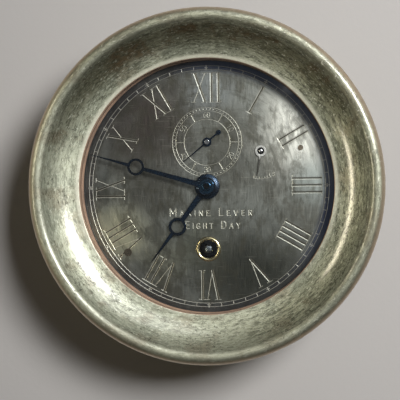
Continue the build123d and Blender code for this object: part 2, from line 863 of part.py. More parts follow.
with BuildPart() as hairspring:
    with BuildSketch(in_front(rim_high + 0.3)) as hair_face:
        for coil in range(hair_coils):
            with Locations(balance):
                Circle(hair_inner + hair_pitch * coil + hair_half)
                Circle(hair_inner + hair_pitch * coil - hair_half, mode=Mode.SUBTRACT)
        taper(60, staff_radius, 0.4, hair_inner + hair_pitch * (hair_coils - 1), 0.3, balance)
    extrude(hair_face.sketch, amount=0.6)
    ring(balance, 1.7, staff_radius, rim_high + 0.2, rim_high + 0.9)
finish(hairspring, "hairspring")

with BuildPart() as balance_cock:
    with BuildSketch(in_front(cock_low)):
        bar(balance, cock_foot, 6.0)
    extrude(amount=cock_high - cock_low)
    disc(cock_foot, 3.0, front_plate_front, cock_low)
    disc(cock_foot, 1.0, front_plate_front, cock_high, Mode.SUBTRACT)
    disc(balance, pivot_radius + running_gap, cock_low, cock_high, Mode.SUBTRACT)
    disc(cock_foot, 1.9, cock_screw_seat, cock_high, Mode.SUBTRACT)
finish(balance_cock, "balance_cock")

with BuildPart() as cock_screw:
    screw(cock_foot, 1.8, cock_screw_seat, cock_high - 0.1, 0.95, front_plate_front)
finish(cock_screw, "cock_screw")

# ---------------------------------------------------------------- regulator

regulator_low = cock_high + 0.1
regulator_shaft = 2.05
regulator_thickness = 0.5

with BuildPart() as regulator_arm:
    disc(balance, 3.2, regulator_low, regulator_low + regulator_thickness)
    disc(balance, regulator_shaft, regulator_low, dial_front + 1.2)
    with BuildSketch(in_front(regulator_low)) as arm_face:
        taper(regulator_angle + 180, 2.5, 2.0, 7.2, 1.6, balance)
    extrude(arm_face.sketch, amount=regulator_thickness)
    for aside in (-0.5, 0.5):
        pin_place = clock_point(regulator_angle + 180, 6.4, aside, balance)
        disc(pin_place, 0.25, rim_high + 0.4, regulator_low)
finish(regulator_arm, "regulator_arm")

with BuildPart() as regulator_pointer:
    with BuildSketch(in_front(dial_front + 0.8)):
        with Locations(balance):
            Circle(3.5)
        taper(regulator_angle, 3.0, 1.3, 15.5, 0.5, balance)
        with Locations(balance):
            Circle(regulator_shaft, mode=Mode.SUBTRACT)
    extrude(amount=0.6)
finish(regulator_pointer, "regulator_pointer")

# ---------------------------------------------------------------- motion work

washer_low = minute_hand_height + hand_thickness
nut_low = washer_low + 0.5
motion_low = front_plate_front + 2.0
hour_wheel_low = front_plate_front + 6.0
cannon_tube = 2.0
cannon_thread = 1.6
stud_radius = 1.2
hour_pipe = 3.0
cannon_bore = hand_spindle + running_gap
pipe_bore = cannon_tube + running_gap

with BuildPart() as cannon_pinion:
    turn(
        [
            (cannon_bore, front_plate_front + 0.3),
            (2.5, front_plate_front + 0.3),
            (2.5, motion_low + 3.0),
            (cannon_tube, motion_low + 3.0),
            (cannon_tube, washer_low),
            (cannon_thread, washer_low),
            (cannon_thread, spindle_end + 0.2),
            (cannon_bore, spindle_end + 0.2),
        ]
    )
    with BuildSketch(in_front(motion_low)):
        leaves = tooth_outline(
            centre,
            minute_mesh["pinion"],
            meshed_phase(minute_stud, centre, minute_mesh),
            pinion_profile(minute_mesh),
        )
        Polygon(*leaves, align=None)
        Circle(cannon_tube, mode=Mode.SUBTRACT)
    extrude(amount=3.0)
finish(cannon_pinion, "cannon_pinion")

with BuildPart() as minute_wheel_stud:
    disc(minute_stud, stud_radius, front_plate_front, hour_wheel_low + 2.2)
    disc(minute_stud, 2.0, front_plate_front, motion_low + 0.3)
finish(minute_wheel_stud, "minute_wheel_stud")

stud_bore = stud_radius + running_gap
minute_pinion_phase = 7.0

with BuildPart() as minute_wheel:
    toothed_wheel(minute_stud, minute_mesh, motion_low + 0.5, motion_low + 2.0, 2.6, stud_bore, 4)
    with BuildSketch(in_front(motion_low + 2.0)):
        Polygon(
            *tooth_outline(minute_stud, hour_mesh["pinion"], minute_pinion_phase, pinion_profile(hour_mesh)),
            align=None,
        )
        with Locations(minute_stud):
            Circle(stud_bore, mode=Mode.SUBTRACT)
    extrude(amount=3.6)
finish(minute_wheel, "minute_wheel")


def wheel_phase_for(wheel_place, pinion_place, mesh, pinion_phase):
    """The wheel's phase that puts one of its gaps on the pinion's leaf at the line of centres."""
    line = degrees(atan2(wheel_place[1] - pinion_place[1], wheel_place[0] - pinion_place[0]))
    pitch = 360.0 / mesh["pinion"]
    offset = pinion_phase - line
    offset -= pitch * floor(offset / pitch + 0.5)
    return line + 180 - offset * mesh["pinion"] / mesh["wheel"] + 180.0 / mesh["wheel"]


with BuildPart() as hour_wheel:
    hour_phase = wheel_phase_for(centre, minute_stud, hour_mesh, minute_pinion_phase)
    toothed_wheel(centre, hour_mesh, hour_wheel_low, hour_wheel_low + 1.2, 4.4, pipe_bore, 4, hour_phase)
    ring(centre, hour_pipe, pipe_bore, motion_low + 3.2, hour_hand_height + hand_thickness)
finish(hour_wheel, "hour_wheel")

# ---------------------------------------------------------------- hands

hand_eye = 3.7
hour_eye_at = 30.5
hour_hand_length = 58.4
minute_eye_at = 44.9
minute_hand_length = 73.9
seconds_hand_length = 19.9
seconds_tail_length = 9.2

with BuildPart() as hour_hand:
    hour_hand_front = hour_hand_height + hand_thickness
    with BuildSketch(in_front(hour_hand_height)):
        taper(hour_hand_angle, 5.0, 4.2, 26.0, 2.6)
        with Locations(clock_point(hour_hand_angle, hour_eye_at)):
            Circle(5.5)
        taper(hour_hand_angle, hour_eye_at + 4.0, 2.4, hour_hand_length, 0.8)
        with Locations(clock_point(hour_hand_angle, hour_eye_at)):
            Circle(hand_eye, mode=Mode.SUBTRACT)
        Circle(7.7)
        Circle(hour_pipe, mode=Mode.SUBTRACT)
    extrude(amount=hand_thickness)
    turn(
        [
            (hour_pipe, hour_hand_height - 1.6),
            (hour_pipe + 1.0, hour_hand_height - 1.6),
            (hour_pipe + 1.0, hour_hand_front),
            (6.6, hour_hand_front),
            (5.4, hour_hand_front + 0.9),
            (hour_pipe, hour_hand_front + 0.9),
        ]
    )
finish(hour_hand, "hour_hand")

with BuildPart() as minute_hand:
    with BuildSketch(in_front(minute_hand_height)):
        taper(minute_hand_angle, 3.0, 3.4, 40.5, 2.1)
        with Locations(clock_point(minute_hand_angle, minute_eye_at)):
            Circle(5.2)
        taper(minute_hand_angle, minute_eye_at + 3.6, 1.6, minute_hand_length, 0.7)
        with Locations(clock_point(minute_hand_angle, minute_eye_at)):
            Circle(hand_eye, mode=Mode.SUBTRACT)
        Circle(5.4)
        Circle(cannon_tube, mode=Mode.SUBTRACT)
    extrude(amount=hand_thickness)
finish(minute_hand, "minute_hand")

with BuildPart() as hand_washer:
    ring(centre, 4.6, cannon_thread, washer_low, nut_low)
finish(hand_washer, "hand_washer")

with BuildPart() as hand_nut:
    nut_high = nut_low + 1.9
    turn(
        [
            (cannon_thread, nut_low),
            (2.9, nut_low),
            (2.9, nut_high - 0.6),
            (2.4, nut_high),
            (cannon_thread, nut_high),
        ]
    )
finish(hand_nut, "hand_nut")

with BuildPart() as seconds_hand:
    with BuildSketch(in_front(seconds_hand_height)):
        with Locations(seconds):
            Circle(2.75)
        taper(seconds_hand_angle, 2.0, 1.2, seconds_hand_length, 0.5, seconds)
        taper(seconds_hand_angle + 180, 2.0, 1.0, seconds_tail_length, 0.8, seconds)
        with Locations(clock_point(seconds_hand_angle + 180, seconds_tail_length, 0, seconds)):
            Circle(1.5)
        with Locations(seconds):
            Circle(pivot_radius, mode=Mode.SUBTRACT)
    extrude(amount=0.5)
finish(seconds_hand, "seconds_hand")
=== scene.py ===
import bmesh
import bpy
import json
import math
import numpy as np
from collections import namedtuple
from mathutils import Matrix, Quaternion, Vector
from mathutils.geometry import delaunay_2d_cdt


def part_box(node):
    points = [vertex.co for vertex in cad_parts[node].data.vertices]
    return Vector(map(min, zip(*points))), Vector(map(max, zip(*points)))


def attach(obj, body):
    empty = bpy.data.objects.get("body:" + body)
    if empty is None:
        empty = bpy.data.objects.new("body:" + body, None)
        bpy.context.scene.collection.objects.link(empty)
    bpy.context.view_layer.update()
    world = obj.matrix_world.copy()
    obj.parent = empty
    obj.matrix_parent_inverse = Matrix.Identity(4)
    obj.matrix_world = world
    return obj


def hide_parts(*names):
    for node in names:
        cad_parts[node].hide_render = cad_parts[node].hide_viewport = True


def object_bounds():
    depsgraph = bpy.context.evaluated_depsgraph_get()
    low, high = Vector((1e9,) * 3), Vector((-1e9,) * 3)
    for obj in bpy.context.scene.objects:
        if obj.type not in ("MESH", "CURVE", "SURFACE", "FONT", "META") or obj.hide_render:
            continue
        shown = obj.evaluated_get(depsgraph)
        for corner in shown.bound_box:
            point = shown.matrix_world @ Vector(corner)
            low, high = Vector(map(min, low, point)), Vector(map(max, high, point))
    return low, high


# Looks of the bulkhead clock. Shapes are worked out in millimetres as seen from the front: right, up, and
# height before the wall. Blender gets metres in the CAD frame, where the dial faces -Y. Materials use metres.

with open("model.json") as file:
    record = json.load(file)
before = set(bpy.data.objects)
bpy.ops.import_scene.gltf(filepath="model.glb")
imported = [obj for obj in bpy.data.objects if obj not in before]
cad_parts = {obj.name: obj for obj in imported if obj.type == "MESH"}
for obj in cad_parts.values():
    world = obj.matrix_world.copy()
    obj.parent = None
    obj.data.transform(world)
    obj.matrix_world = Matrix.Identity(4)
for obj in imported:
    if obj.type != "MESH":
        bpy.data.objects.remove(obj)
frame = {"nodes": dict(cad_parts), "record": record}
cad_low, cad_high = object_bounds()
MM = 0.001
WELD = 1e-7
SLIVER = 1e-8


def span(node):
    """A node's lowest and highest height before the wall, in mm."""
    low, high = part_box(node)
    return -high[1] / MM, -low[1] / MM


def middle(node):
    """The middle of a node seen from the front, in mm."""
    low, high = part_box(node)
    return (low[0] + high[0]) / 2 / MM, (low[2] + high[2]) / 2 / MM


def reach(node):
    """Half a node's width, in mm."""
    low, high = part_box(node)
    return (high[0] - low[0]) / 2 / MM


DIAL_BACK, DIAL_FRONT = span("dial")
GLASS_BACK, GLASS_FRONT = span("glass")
HOUR_LOW = span("hour_hand")[0] + 1.6
MINUTE_LOW, MINUTE_HIGH = span("minute_hand")
SECONDS_LOW, SECONDS_HIGH = span("seconds_hand")
CENTRE = (0.0, 0.0)
SECONDS = middle("fourth_wheel")
WINDING = middle("winding_hole_bush")
REGULATOR = middle("balance_wheel")

# ---- shapes: points, outlines, solids


def clock_point(angle, out, across=0.0, centre=CENTRE):
    """The point at a clock angle and distance from a centre, moved clockwise by across."""
    a = math.radians(angle)
    return (
        centre[0] + out * math.sin(a) + across * math.cos(a),
        centre[1] + out * math.cos(a) - across * math.sin(a),
    )


def circle(centre, radius, steps):
    """A circle as points, anticlockwise."""
    turns = [2 * math.pi * k / steps for k in range(steps)]
    return [(centre[0] + radius * math.cos(t), centre[1] + radius * math.sin(t)) for t in turns]


def arc(centre, radius, start, end, steps):
    """Points along an arc between two angles in degrees, both ends included."""
    angles = [math.radians(start + (end - start) * k / steps) for k in range(steps + 1)]
    return [(centre[0] + radius * math.cos(a), centre[1] + radius * math.sin(a)) for a in angles]


def lathe(profile, steps=192, centre=CENTRE):
    """Turns a closed half section of (radius, height) points, and returns (points, faces) in mm."""
    points, rows, faces = [], [], []
    for radius, height in profile:
        if radius < 1e-6:
            rows.append([len(points)] * steps)
            points.append((centre[0], centre[1], height))
            continue
        rows.append(list(range(len(points), len(points) + steps)))
        points += [(x, z, height) for x, z in circle(centre, radius, steps)]
    for here, there in zip(rows, rows[1:] + rows[:1]):
        for k in range(steps):
            n = (k + 1) % steps
            corners = [here[k], here[n], there[n], there[k]]
            corners = [c for i, c in enumerate(corners) if c not in corners[:i]]
            if len(corners) > 2:
                faces.append(corners)
    return points, faces


def inset(loop, amount):
    """A closed outline moved inwards by amount: to its left if it runs anticlockwise."""
    moved = []
    count = len(loop)
    for k in range(count):
        before, here, after = loop[k - 1], loop[k], loop[(k + 1) % count]
        a = Vector((here[0] - before[0], here[1] - before[1])).normalized()
        b = Vector((after[0] - here[0], after[1] - here[1])).normalized()
        normal = Vector((-a.y - b.y, a.x + b.x))
        normal = normal.normalized() if normal.length > 1e-6 else Vector((-a.y, a.x))
        stretch = 1 / max(0.5, normal.dot(Vector((-a.y, a.x))))
        moved.append((here[0] + normal.x * amount * stretch, here[1] + normal.y * amount * stretch))
    return moved


def fill(loops):
    """Triangles that fill an outline less its holes, as (points, triangles)."""
    points = [Vector(p) for loop in loops for p in loop]
    edges, start = [], 0
    for loop in loops:
        edges += [(start + k, start + (k + 1) % len(loop)) for k in range(len(loop))]
        start += len(loop)
    made, _, faces, _, _, _ = delaunay_2d_cdt(points, edges, [], 1, 1e-7)
    kept = []
    for face in faces:
        mid = sum((made[i] for i in face), Vector((0, 0))) / len(face)
        inside = sum(crossings(loop, mid) for loop in loops) % 2
        if inside:
            kept.append(list(face))
    return [tuple(p) for p in made], kept


def crossings(loop, point):
    """How many edges of an outline lie to the right of a point."""
    count = 0
    for (x0, y0), (x1, y1) in zip(loop, loop[1:] + loop[:1]):
        if (y0 > point.y) != (y1 > point.y):
            count += point.x < (x1 - x0) * (point.y - y0) / (y1 - y0) + x0
    return count


def plate(outline, holes, low, high, bevel):
    """A flat piece with a bevelled front edge. Outline anticlockwise, holes too."""
    loops = [outline] + [hole[::-1] for hole in holes]
    points, faces = [], []
    tops = [inset(loop, bevel) for loop in loops]
    for loop, top in zip(loops, tops):
        count, base = len(loop), len(points)
        points += [(x, z, low) for x, z in loop]
        points += [(x, z, high - bevel) for x, z in loop]
        points += [(x, z, high) for x, z in top]
        for k in range(count):
            n = (k + 1) % count
            for row in (0, count):
                faces.append([base + row + k, base + row + n, base + row + count + n, base + row + count + k])
    for cap, height, flip in ((loops, low, True), (tops, high, False)):
        flat, triangles = fill(cap)
        base = len(points)
        points += [(x, z, height) for x, z in flat]
        faces += [[base + i for i in (t[::-1] if flip else t)] for t in triangles]
    return points, faces


def combine(*shapes):
    """Several (points, faces) shapes as one."""
    points, faces = [], []
    for shape_points, shape_faces in shapes:
        base = len(points)
        points += shape_points
        faces += [[base + i for i in face] for face in shape_faces]
    return points, faces


def piece(name, shape, body, nodes, material, smooth=30):
    """Makes a shown piece from a shape in mm, on a CAD body, standing for the named CAD nodes."""
    points, faces = shape
    mesh = bpy.data.meshes.new(name)
    mesh.from_pydata([(x * MM, -height * MM, z * MM) for x, z, height in points], [], faces)
    work = bmesh.new()
    work.from_mesh(mesh)
    bmesh.ops.remove_doubles(work, verts=work.verts, dist=WELD)
    bmesh.ops.dissolve_degenerate(work, edges=work.edges, dist=SLIVER)
    bmesh.ops.recalc_face_normals(work, faces=work.faces)
    work.to_mesh(mesh)
    work.free()
    if smooth:
        mesh.polygons.foreach_set("use_smooth", [True] * len(mesh.polygons))
        mesh.set_sharp_from_angle(angle=math.radians(smooth))
    mesh.materials.append(material)
    made = bpy.data.objects.new(name, mesh)
    bpy.context.scene.collection.objects.link(made)
    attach(made, body)
    if nodes:
        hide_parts(*nodes)
    return made


# ---- material kit


making = {}


def node(kind, inputs=None, **settings):
    """Adds a shader node to the tree being made. An input is a value or another node's output."""
    made = making["tree"].nodes.new(kind)
    for key, value in settings.items():
        setattr(made, key, value)
    for key, value in (inputs or {}).items():
        feed(made.inputs[key], value)
    return made


def feed(socket, value):
    """Links an output to a socket, or sets the socket to a value or a colour."""
    if isinstance(value, bpy.types.NodeSocket):
        making["tree"].links.new(value, socket)
    elif socket.type == "RGBA" and len(value) == 3:
        socket.default_value = (*value, 1)
    else:
        socket.default_value = value


def math_node(operation, first, second=0.0, clamp=False):
    """One step of arithmetic on values or outputs."""
    inputs = {0: first, 1: second}
    return node("ShaderNodeMath", inputs, operation=operation, use_clamp=clamp).outputs[0]


def add(first, second):
    return math_node("ADD", first, second)


def multiply(first, second):
    return math_node("MULTIPLY", first, second)


def mix(share, first, second):
    """Mixes two colours, or a colour and a colour output, by a share."""
    return node("ShaderNodeMix", {0: share, 6: first, 7: second}, data_type="RGBA").outputs[2]


def layer(base, mask, share, colour):
    """Lays a colour over a base where a mask says, by a share."""
    return mix(multiply(mask, share), base, colour)


def between(value, low, high, out_low=0.0, out_high=1.0):
    """Maps a value from one range to another, smoothly and clamped."""
    inputs = {"Value": value, "From Min": low, "From Max": high, "To Min": out_low, "To Max": out_high}
    return node("ShaderNodeMapRange", inputs, interpolation_type="SMOOTHSTEP").outputs[0]


def noise(vector, scale, detail=4.0, roughness=0.55):
    inputs = {"Vector": vector, "Scale": scale, "Detail": detail, "Roughness": roughness}
    return node("ShaderNodeTexNoise", inputs).outputs["Fac"]


def stretched(vector, scale):
    return node("ShaderNodeVectorMath", {0: vector, 1: scale}, operation="MULTIPLY").outputs[0]


def length(vector):
    return node("ShaderNodeVectorMath", {0: vector}, operation="LENGTH").outputs["Value"]


def object_space():
    return node("ShaderNodeTexCoord").outputs["Object"]


def split(vector):
    made = node("ShaderNodeSeparateXYZ", {0: vector})
    return made.outputs[0], made.outputs[1], made.outputs[2]


def join(x, y, z):
    return node("ShaderNodeCombineXYZ", {0: x, 1: y, 2: z}).outputs[0]


def radius_of(vector, centre=CENTRE):
    """The distance in metres from the line through a centre given in mm."""
    x, _, z = split(vector)
    return length(join(add(x, -centre[0] * MM), 0.0, add(z, -centre[1] * MM)))


def towards(vector, right, up):
    """How far a place lies along a direction seen from the front, in metres."""
    x, _, z = split(vector)
    return add(multiply(x, right), multiply(z, up))


def turned_noise(vector, round_scale, radial_scale, detail, roughness):
    """Noise that runs in circular lines about the dial's centre, with no seam."""
    x, y, z = split(vector)
    flat = join(x, 0.0, z)
    unit = node("ShaderNodeVectorMath", {0: flat}, operation="NORMALIZE").outputs[0]
    round_part = stretched(unit, (round_scale, 0, round_scale))
    deep = add(radius_of(vector), multiply(y, -0.7))
    radial_part = join(0.0, multiply(deep, radial_scale), 0.0)
    both = node("ShaderNodeVectorMath", {0: round_part, 1: radial_part}, operation="ADD").outputs[0]
    return noise(both, 1.0, detail, roughness)


def new_material(name):
    """Starts a material, whose tree the nodes that follow go in."""
    made = bpy.data.materials.new(name)
    made.use_nodes = True
    making["tree"] = made.node_tree
    return made, made.node_tree.nodes["Principled BSDF"]


def connect(shader, **inputs):
    """Sets or links a shader's inputs, named with underscores for spaces."""
    for key, value in inputs.items():
        feed(shader.inputs[key.replace("_", " ")], value)


def show(surface):
    """Makes a shader's output the surface of the material being made."""
    feed(making["tree"].nodes["Material Output"].inputs["Surface"], surface)


def bump(height, distance):
    inputs = {"Height": height, "Distance": distance, "Strength": 1.0}
    return node("ShaderNodeBump", inputs).outputs[0]


def two_tones(space, scale, low, high, first, second, detail=4.0):
    """Two colours in soft patches."""
    return mix(between(noise(space, scale, detail), low, high), first, second)


def grained(made, shader, base, fine, smooth, rough, depth, **finish):
    """Gives a material its colour, and takes its roughness and relief from its grain."""
    roughness = between(fine, 0.3, 0.7, smooth, rough)
    connect(shader, Base_Color=base, Roughness=roughness, Normal=bump(fine, depth), **finish)
    return made


def worn_metal(name, colour, dull, rough, grain_scale, grain=0.000004, spots=0.0, metallic=1.0):
    """A plain worn metal: two tones in patches, fine grain, and dull spots where asked."""
    made, shader = new_material(name)
    space = object_space()
    base = two_tones(space, 60.0, 0.38, 0.66, colour, dull, 5.0)
    fine = noise(space, grain_scale, 3.0, 0.7)
    if spots:
        dots = between(noise(space, 420.0, 6.0, 0.7), 0.6, 0.72, 0.0, spots)
        base = mix(dots, base, tuple(0.35 * c for c in dull))
    return grained(made, shader, base, fine, rough * 0.8, rough * 1.35, grain, Metallic=metallic)


# ---- materials


# Zones of the bezel: the radius in metres where each starts, and where it is complete.
BORE_ZONE = (0.0766, 0.0764)
LIP_ZONE = (0.0797, 0.0774)
COVE_ZONE = (0.083, 0.089)
COVE_END = (0.0965, 0.094)
BEAD_ZONE = (0.0955, 0.0975)
OUTER_ZONE = (0.1018, 0.1036)


def bezel_tarnish(space, mottle, fleck_share):
    """The tarnish as a colour: clouds, rust, streaks, dashes and flecks, with painted light at the lower left
    that also thins the streaks and dashes, painted shade on the top of the cove and painted glints at the
    upper right.
    """
    radius = radius_of(space)
    up = split(space)[2]
    clouds = between(noise(space, 24.0, 4.0, 0.6), 0.4, 0.6)
    rust = between(noise(stretched(space, (1.0, 1.0, 1.4)), 33.0, 5.0, 0.65), 0.5, 0.64)
    streaks = between(mottle, 0.49, 0.56)
    dashes = between(turned_noise(space, 26.0, 1200.0, 5.0, 0.75), 0.5, 0.6)
    pale = between(turned_noise(space, 36.0, 800.0, 4.0, 0.7), 0.56, 0.66)
    # Painted light: the lower left is made lighter, and its streaks and dashes fainter.
    painted_light_lower_left = between(towards(space, -0.75, -0.66), 0.0, 0.075)
    painted_light_thinning = between(painted_light_lower_left, 0.0, 1.0, 1.0, 0.6)
    # Painted shade: the top of the cove is made darker and browner, with the rust laid on more thickly there.
    cove_top_painted_shade = multiply(between(radius, *COVE_ZONE), between(up, 0.015, 0.07))
    cove_top_painted_shade = multiply(cove_top_painted_shade, between(radius, *COVE_END))
    rust_and_shade_share = add(multiply(cove_top_painted_shade, 0.45), 0.4)
    # Painted glints: bright specks only towards the upper right, the lamp's side.
    dots = between(noise(space, 640.0, 2.0, 0.5), 0.66, 0.72)
    dots = multiply(dots, between(towards(space, 0.7, 0.7), 0.06, 0.085))
    base = mix(clouds, (0.47, 0.49, 0.375), (0.31, 0.33, 0.25))
    # Painted light at the lower left.
    base = layer(base, painted_light_lower_left, 0.3, (0.52, 0.55, 0.46))
    # Painted shade on the top of the cove.
    base = layer(base, cove_top_painted_shade, 0.55, (0.17, 0.155, 0.09))
    base = layer(base, rust, rust_and_shade_share, (0.17, 0.115, 0.06))
    # The streaks and dashes fade under the painted light at the lower left.
    base = layer(base, multiply(streaks, painted_light_thinning), 0.68, (0.085, 0.09, 0.06))
    base = layer(base, multiply(dashes, painted_light_thinning), 0.64, (0.055, 0.057, 0.038))
    base = layer(base, fleck_share, 0.85, (0.04, 0.036, 0.024))
    base = layer(base, pale, 0.45, (0.85, 0.88, 0.75))
    # Painted glints at the upper right.
    return layer(base, dots, 0.7, (1.0, 1.0, 0.9))


def bezel_material():
    """Olive, tarnished brass with painted light, painted shade and painted glints: turned lines, mottled
    patches, dark specks, a lip painted lighter as a painted reflection, most towards the top, and a brown
    edge.
    """
    made, shader = new_material("bezel_tarnished_brass")
    space = object_space()
    radius = radius_of(space)
    mottle = turned_noise(space, 11.0, 420.0, 9.0, 0.78)
    flecks = between(turned_noise(space, 48.0, 640.0, 6.0, 0.8), 0.54, 0.6)
    fleck_area = between(noise(space, 42.0, 4.0, 0.65), 0.42, 0.6, 0.1, 0.95)
    fleck_share = multiply(flecks, fleck_area)
    # Painted reflection: the lip is made lighter, most towards the top.
    lip_light_to_top = between(split(space)[2], -0.06, 0.0, 0.1, 1.0)
    lip = multiply(between(radius, *LIP_ZONE), lip_light_to_top)
    bore = between(radius, *BORE_ZONE)
    bead = between(radius, *BEAD_ZONE)
    outside = between(radius, *OUTER_ZONE)
    normal = node("ShaderNodeNewGeometry").outputs["Normal"]
    rear = between(split(normal)[1], -0.2, 0.05)
    base = bezel_tarnish(space, mottle, fleck_share)
    # Painted reflection on the lip.
    base = layer(base, lip, 0.6, (0.8, 0.8, 0.68))
    base = layer(base, rear, 0.8, (0.36, 0.33, 0.22))
    base = layer(base, bead, 0.35, (0.31, 0.31, 0.25))
    base = layer(base, outside, 0.75, (0.62, 0.5, 0.36))
    base = layer(base, bore, 0.95, (0.42, 0.28, 0.2))
    roughness = add(between(mottle, 0.35, 0.65, 0.5, 0.62), multiply(fleck_share, 0.15))
    lines = turned_noise(space, 6.0, 5200.0, 2.0, 0.5)
    relief = add(lines, add(multiply(mottle, 0.7), multiply(fleck_share, -0.8)))
    film = between(fleck_share, 0.0, 0.8, 1.0, 0.1)
    film = multiply(film, between(bead, 0.0, 1.0, 1.0, 0.5))
    film = multiply(film, between(bore, 0.0, 1.0, 1.0, 0.1))
    metallic = between(bore, 0.0, 1.0, 1.0, 0.3)
    connect(shader, Base_Color=base, Metallic=metallic, Roughness=roughness, Coat_Weight=film,
            Coat_IOR=1.8, Coat_Roughness=0.17, Normal=bump(relief, 0.00002))
    return made


def patch(space, x, z, size):
    """A soft-edged round patch about a place on the dial in mm, its edge broken up by noise."""
    off = node("ShaderNodeVectorMath", {0: space, 1: (x * MM, 0.0, z * MM)}, operation="SUBTRACT")
    away = length(stretched(off.outputs[0], (1.0, 0.0, 1.0)))
    ragged = add(away, multiply(noise(space, 48.0, 5.0, 0.65), 0.7 * size * MM))
    return between(ragged, 1.35 * size * MM, 0.45 * size * MM)


# Lighter and darker patches of the dial: right, up and size in mm, then share and colour. The near-white
# patch at the upper right is a painted glare.
DIAL_PATCHES = [
    (-38, 40, 44, 0.9, (0.085, 0.066, 0.06)),
    (26, -54, 50, 0.95, (0.055, 0.058, 0.048)),
    (-57, -28, 27, 0.85, (0.8, 0.77, 0.55)),
    (2, 62, 24, 0.5, (0.44, 0.48, 0.5)),
    (-34, -2, 22, 0.7, (0.11, 0.105, 0.09)),
    (-28, -44, 20, 0.5, (0.34, 0.335, 0.25)),
    # Painted glare at the upper right.
    (58, 33, 40, 1.0, (1.0, 1.0, 0.93)),
    (64, 4, 22, 0.6, (0.5, 0.56, 0.55)),
    (-6, -34, 26, 0.45, (0.19, 0.205, 0.155)),
]
# Radii in metres: the painted shade round the dial's rim, and the lip's painted shadow at the upper right.
DIAL_RIM_SHADE = (0.0702, 0.0718)
DIAL_SHADE = (0.068, 0.0745)


def dial_surface(space, stains):
    """The plate's colour away from the engraving: lighter and darker patches with a painted glare at the
    upper right, stains, turned arcs, scratches, painted reflection lines across the glare, painted shade
    round the rim and the lip's painted shadow at the upper right.
    """
    radius = radius_of(space)
    clouds = noise(space, 30.0, 6.0, 0.65)
    arcs = turned_noise(space, 2.2, 210.0, 5.0, 0.7)
    scratches = between(noise(stretched(space, (60.0, 1.0, 2400.0)), 1.0, 2.0), 0.64, 0.72)
    base = mix(between(clouds, 0.36, 0.64), (0.30, 0.312, 0.292), (0.17, 0.17, 0.15))
    for x, z, size, share, colour in DIAL_PATCHES:
        base = layer(base, patch(space, x, z, size), share, colour)
    base = layer(base, between(stains, 0.48, 0.6), 0.55, (0.10, 0.095, 0.072))
    base = layer(base, between(arcs, 0.5, 0.62), 0.35, (0.09, 0.09, 0.072))
    base = layer(base, scratches, 0.35, (0.55, 0.54, 0.48))
    # Painted shade: the dial darkens round its rim, under the bezel's lip.
    base = layer(base, between(radius, *DIAL_RIM_SHADE), 0.5, (0.07, 0.07, 0.085))
    # Painted reflection: darker diagonal lines across the painted glare at the upper right.
    over = multiply(towards(space, 0.94, 0.34), 420.0)
    down = multiply(towards(space, 0.34, -0.94), 10.0)
    painted_sheen_lines = between(noise(join(over, 0.0, down), 1.0, 4.0, 0.7), 0.5, 0.62)
    painted_sheen_lines = multiply(painted_sheen_lines, patch(space, 40, 22, 30))
    base = layer(base, painted_sheen_lines, 0.5, (0.16, 0.165, 0.14))
    upper_right = between(towards(space, 0.85, 0.53), 0.01, 0.05)
    shaded = multiply(between(radius, *DIAL_SHADE), upper_right)
    return layer(base, shaded, 0.85, (0.06, 0.085, 0.17))


def dial_material():
    """Silvered brass gone grey and brown: brushed, in lighter and darker patches, with painted highlights on
    the engraving's walls and painted shade in its bottoms.
    """
    made, shader = new_material("dial_brushed_brass")
    space = object_space()
    brush = noise(stretched(space, (2600.0, 1.0, 90.0)), 1.0, 3.0, 0.6)
    stains = noise(stretched(space, (1.0, 1.0, 0.55)), 105.0, 7.0, 0.72)
    sunk = add(split(space)[1], DIAL_FRONT * MM)
    wall = multiply(between(sunk, 0.00001, 0.00003), between(sunk, 0.00024, 0.00015))
    base = dial_surface(space, stains)
    # Painted highlight: the walls of the engraved V-grooves are made lighter. Painted shade: their bottoms
    # are made near black.
    base = layer(base, wall, 0.38, (0.88, 0.87, 0.78))
    base = layer(base, between(sunk, 0.00016, 0.00026), 0.85, (0.06, 0.055, 0.045))
    in_cut = between(sunk, 0.00001, 0.00005, 0.0, 0.2)
    roughness = add(between(brush, 0.3, 0.7, 0.3, 0.46), in_cut)
    relief = add(brush, multiply(stains, 0.6))
    connect(shader, Base_Color=base, Metallic=1.0, Roughness=roughness,
            Normal=bump(relief, 0.000006))
    return made


def blued_material():
    """Heat-blued steel: near black, navy where it catches light, with a fine grain."""
    made, shader = new_material("blued_steel")
    space = object_space()
    fine = noise(stretched(space, (500.0, 500.0, 1500.0)), 1.0, 3.0, 0.6)
    base = two_tones(space, 90.0, 0.35, 0.65, (0.008, 0.03, 0.066), (0.010, 0.018, 0.032))
    return grained(made, shader, base, fine, 0.2, 0.34, 0.000003, Metallic=0.9, Coat_Weight=0.25,
                   Coat_Roughness=0.25)


def glass_material():
    """Clear flat glass that lets light through and keeps a faint sheen."""
    made, shader = new_material("clear_glass")
    making["tree"].nodes.remove(shader)
    space = object_space()
    smudge = between(noise(space, 34.0, 5.0, 0.6), 0.5, 0.75, 0.0, 0.03)
    fresnel = node("ShaderNodeFresnel", {"IOR": 1.45}).outputs[0]
    share = math_node("ADD", multiply(fresnel, 0.55), smudge, clamp=True)
    clear = node("ShaderNodeBsdfTransparent", {"Color": (0.985, 0.99, 0.985, 1)}).outputs[0]
    roughness = between(smudge, 0.0, 0.03, 0.03, 0.3)
    sheen = node("ShaderNodeBsdfGlossy", {"Color": (1, 1, 1, 1), "Roughness": roughness}).outputs[0]
    show(node("ShaderNodeMixShader", {0: share, 1: clear, 2: sheen}).outputs[0])
    return made


def ruby_material():
    """Red synthetic ruby, polished."""
    made, shader = new_material("ruby_jewel")
    base = two_tones(object_space(), 900.0, 0.3, 0.7, (0.42, 0.01, 0.05), (0.6, 0.03, 0.12))
    connect(shader, Base_Color=base, Roughness=0.08, Coat_Weight=1.0, Transmission_Weight=0.2)
    return made


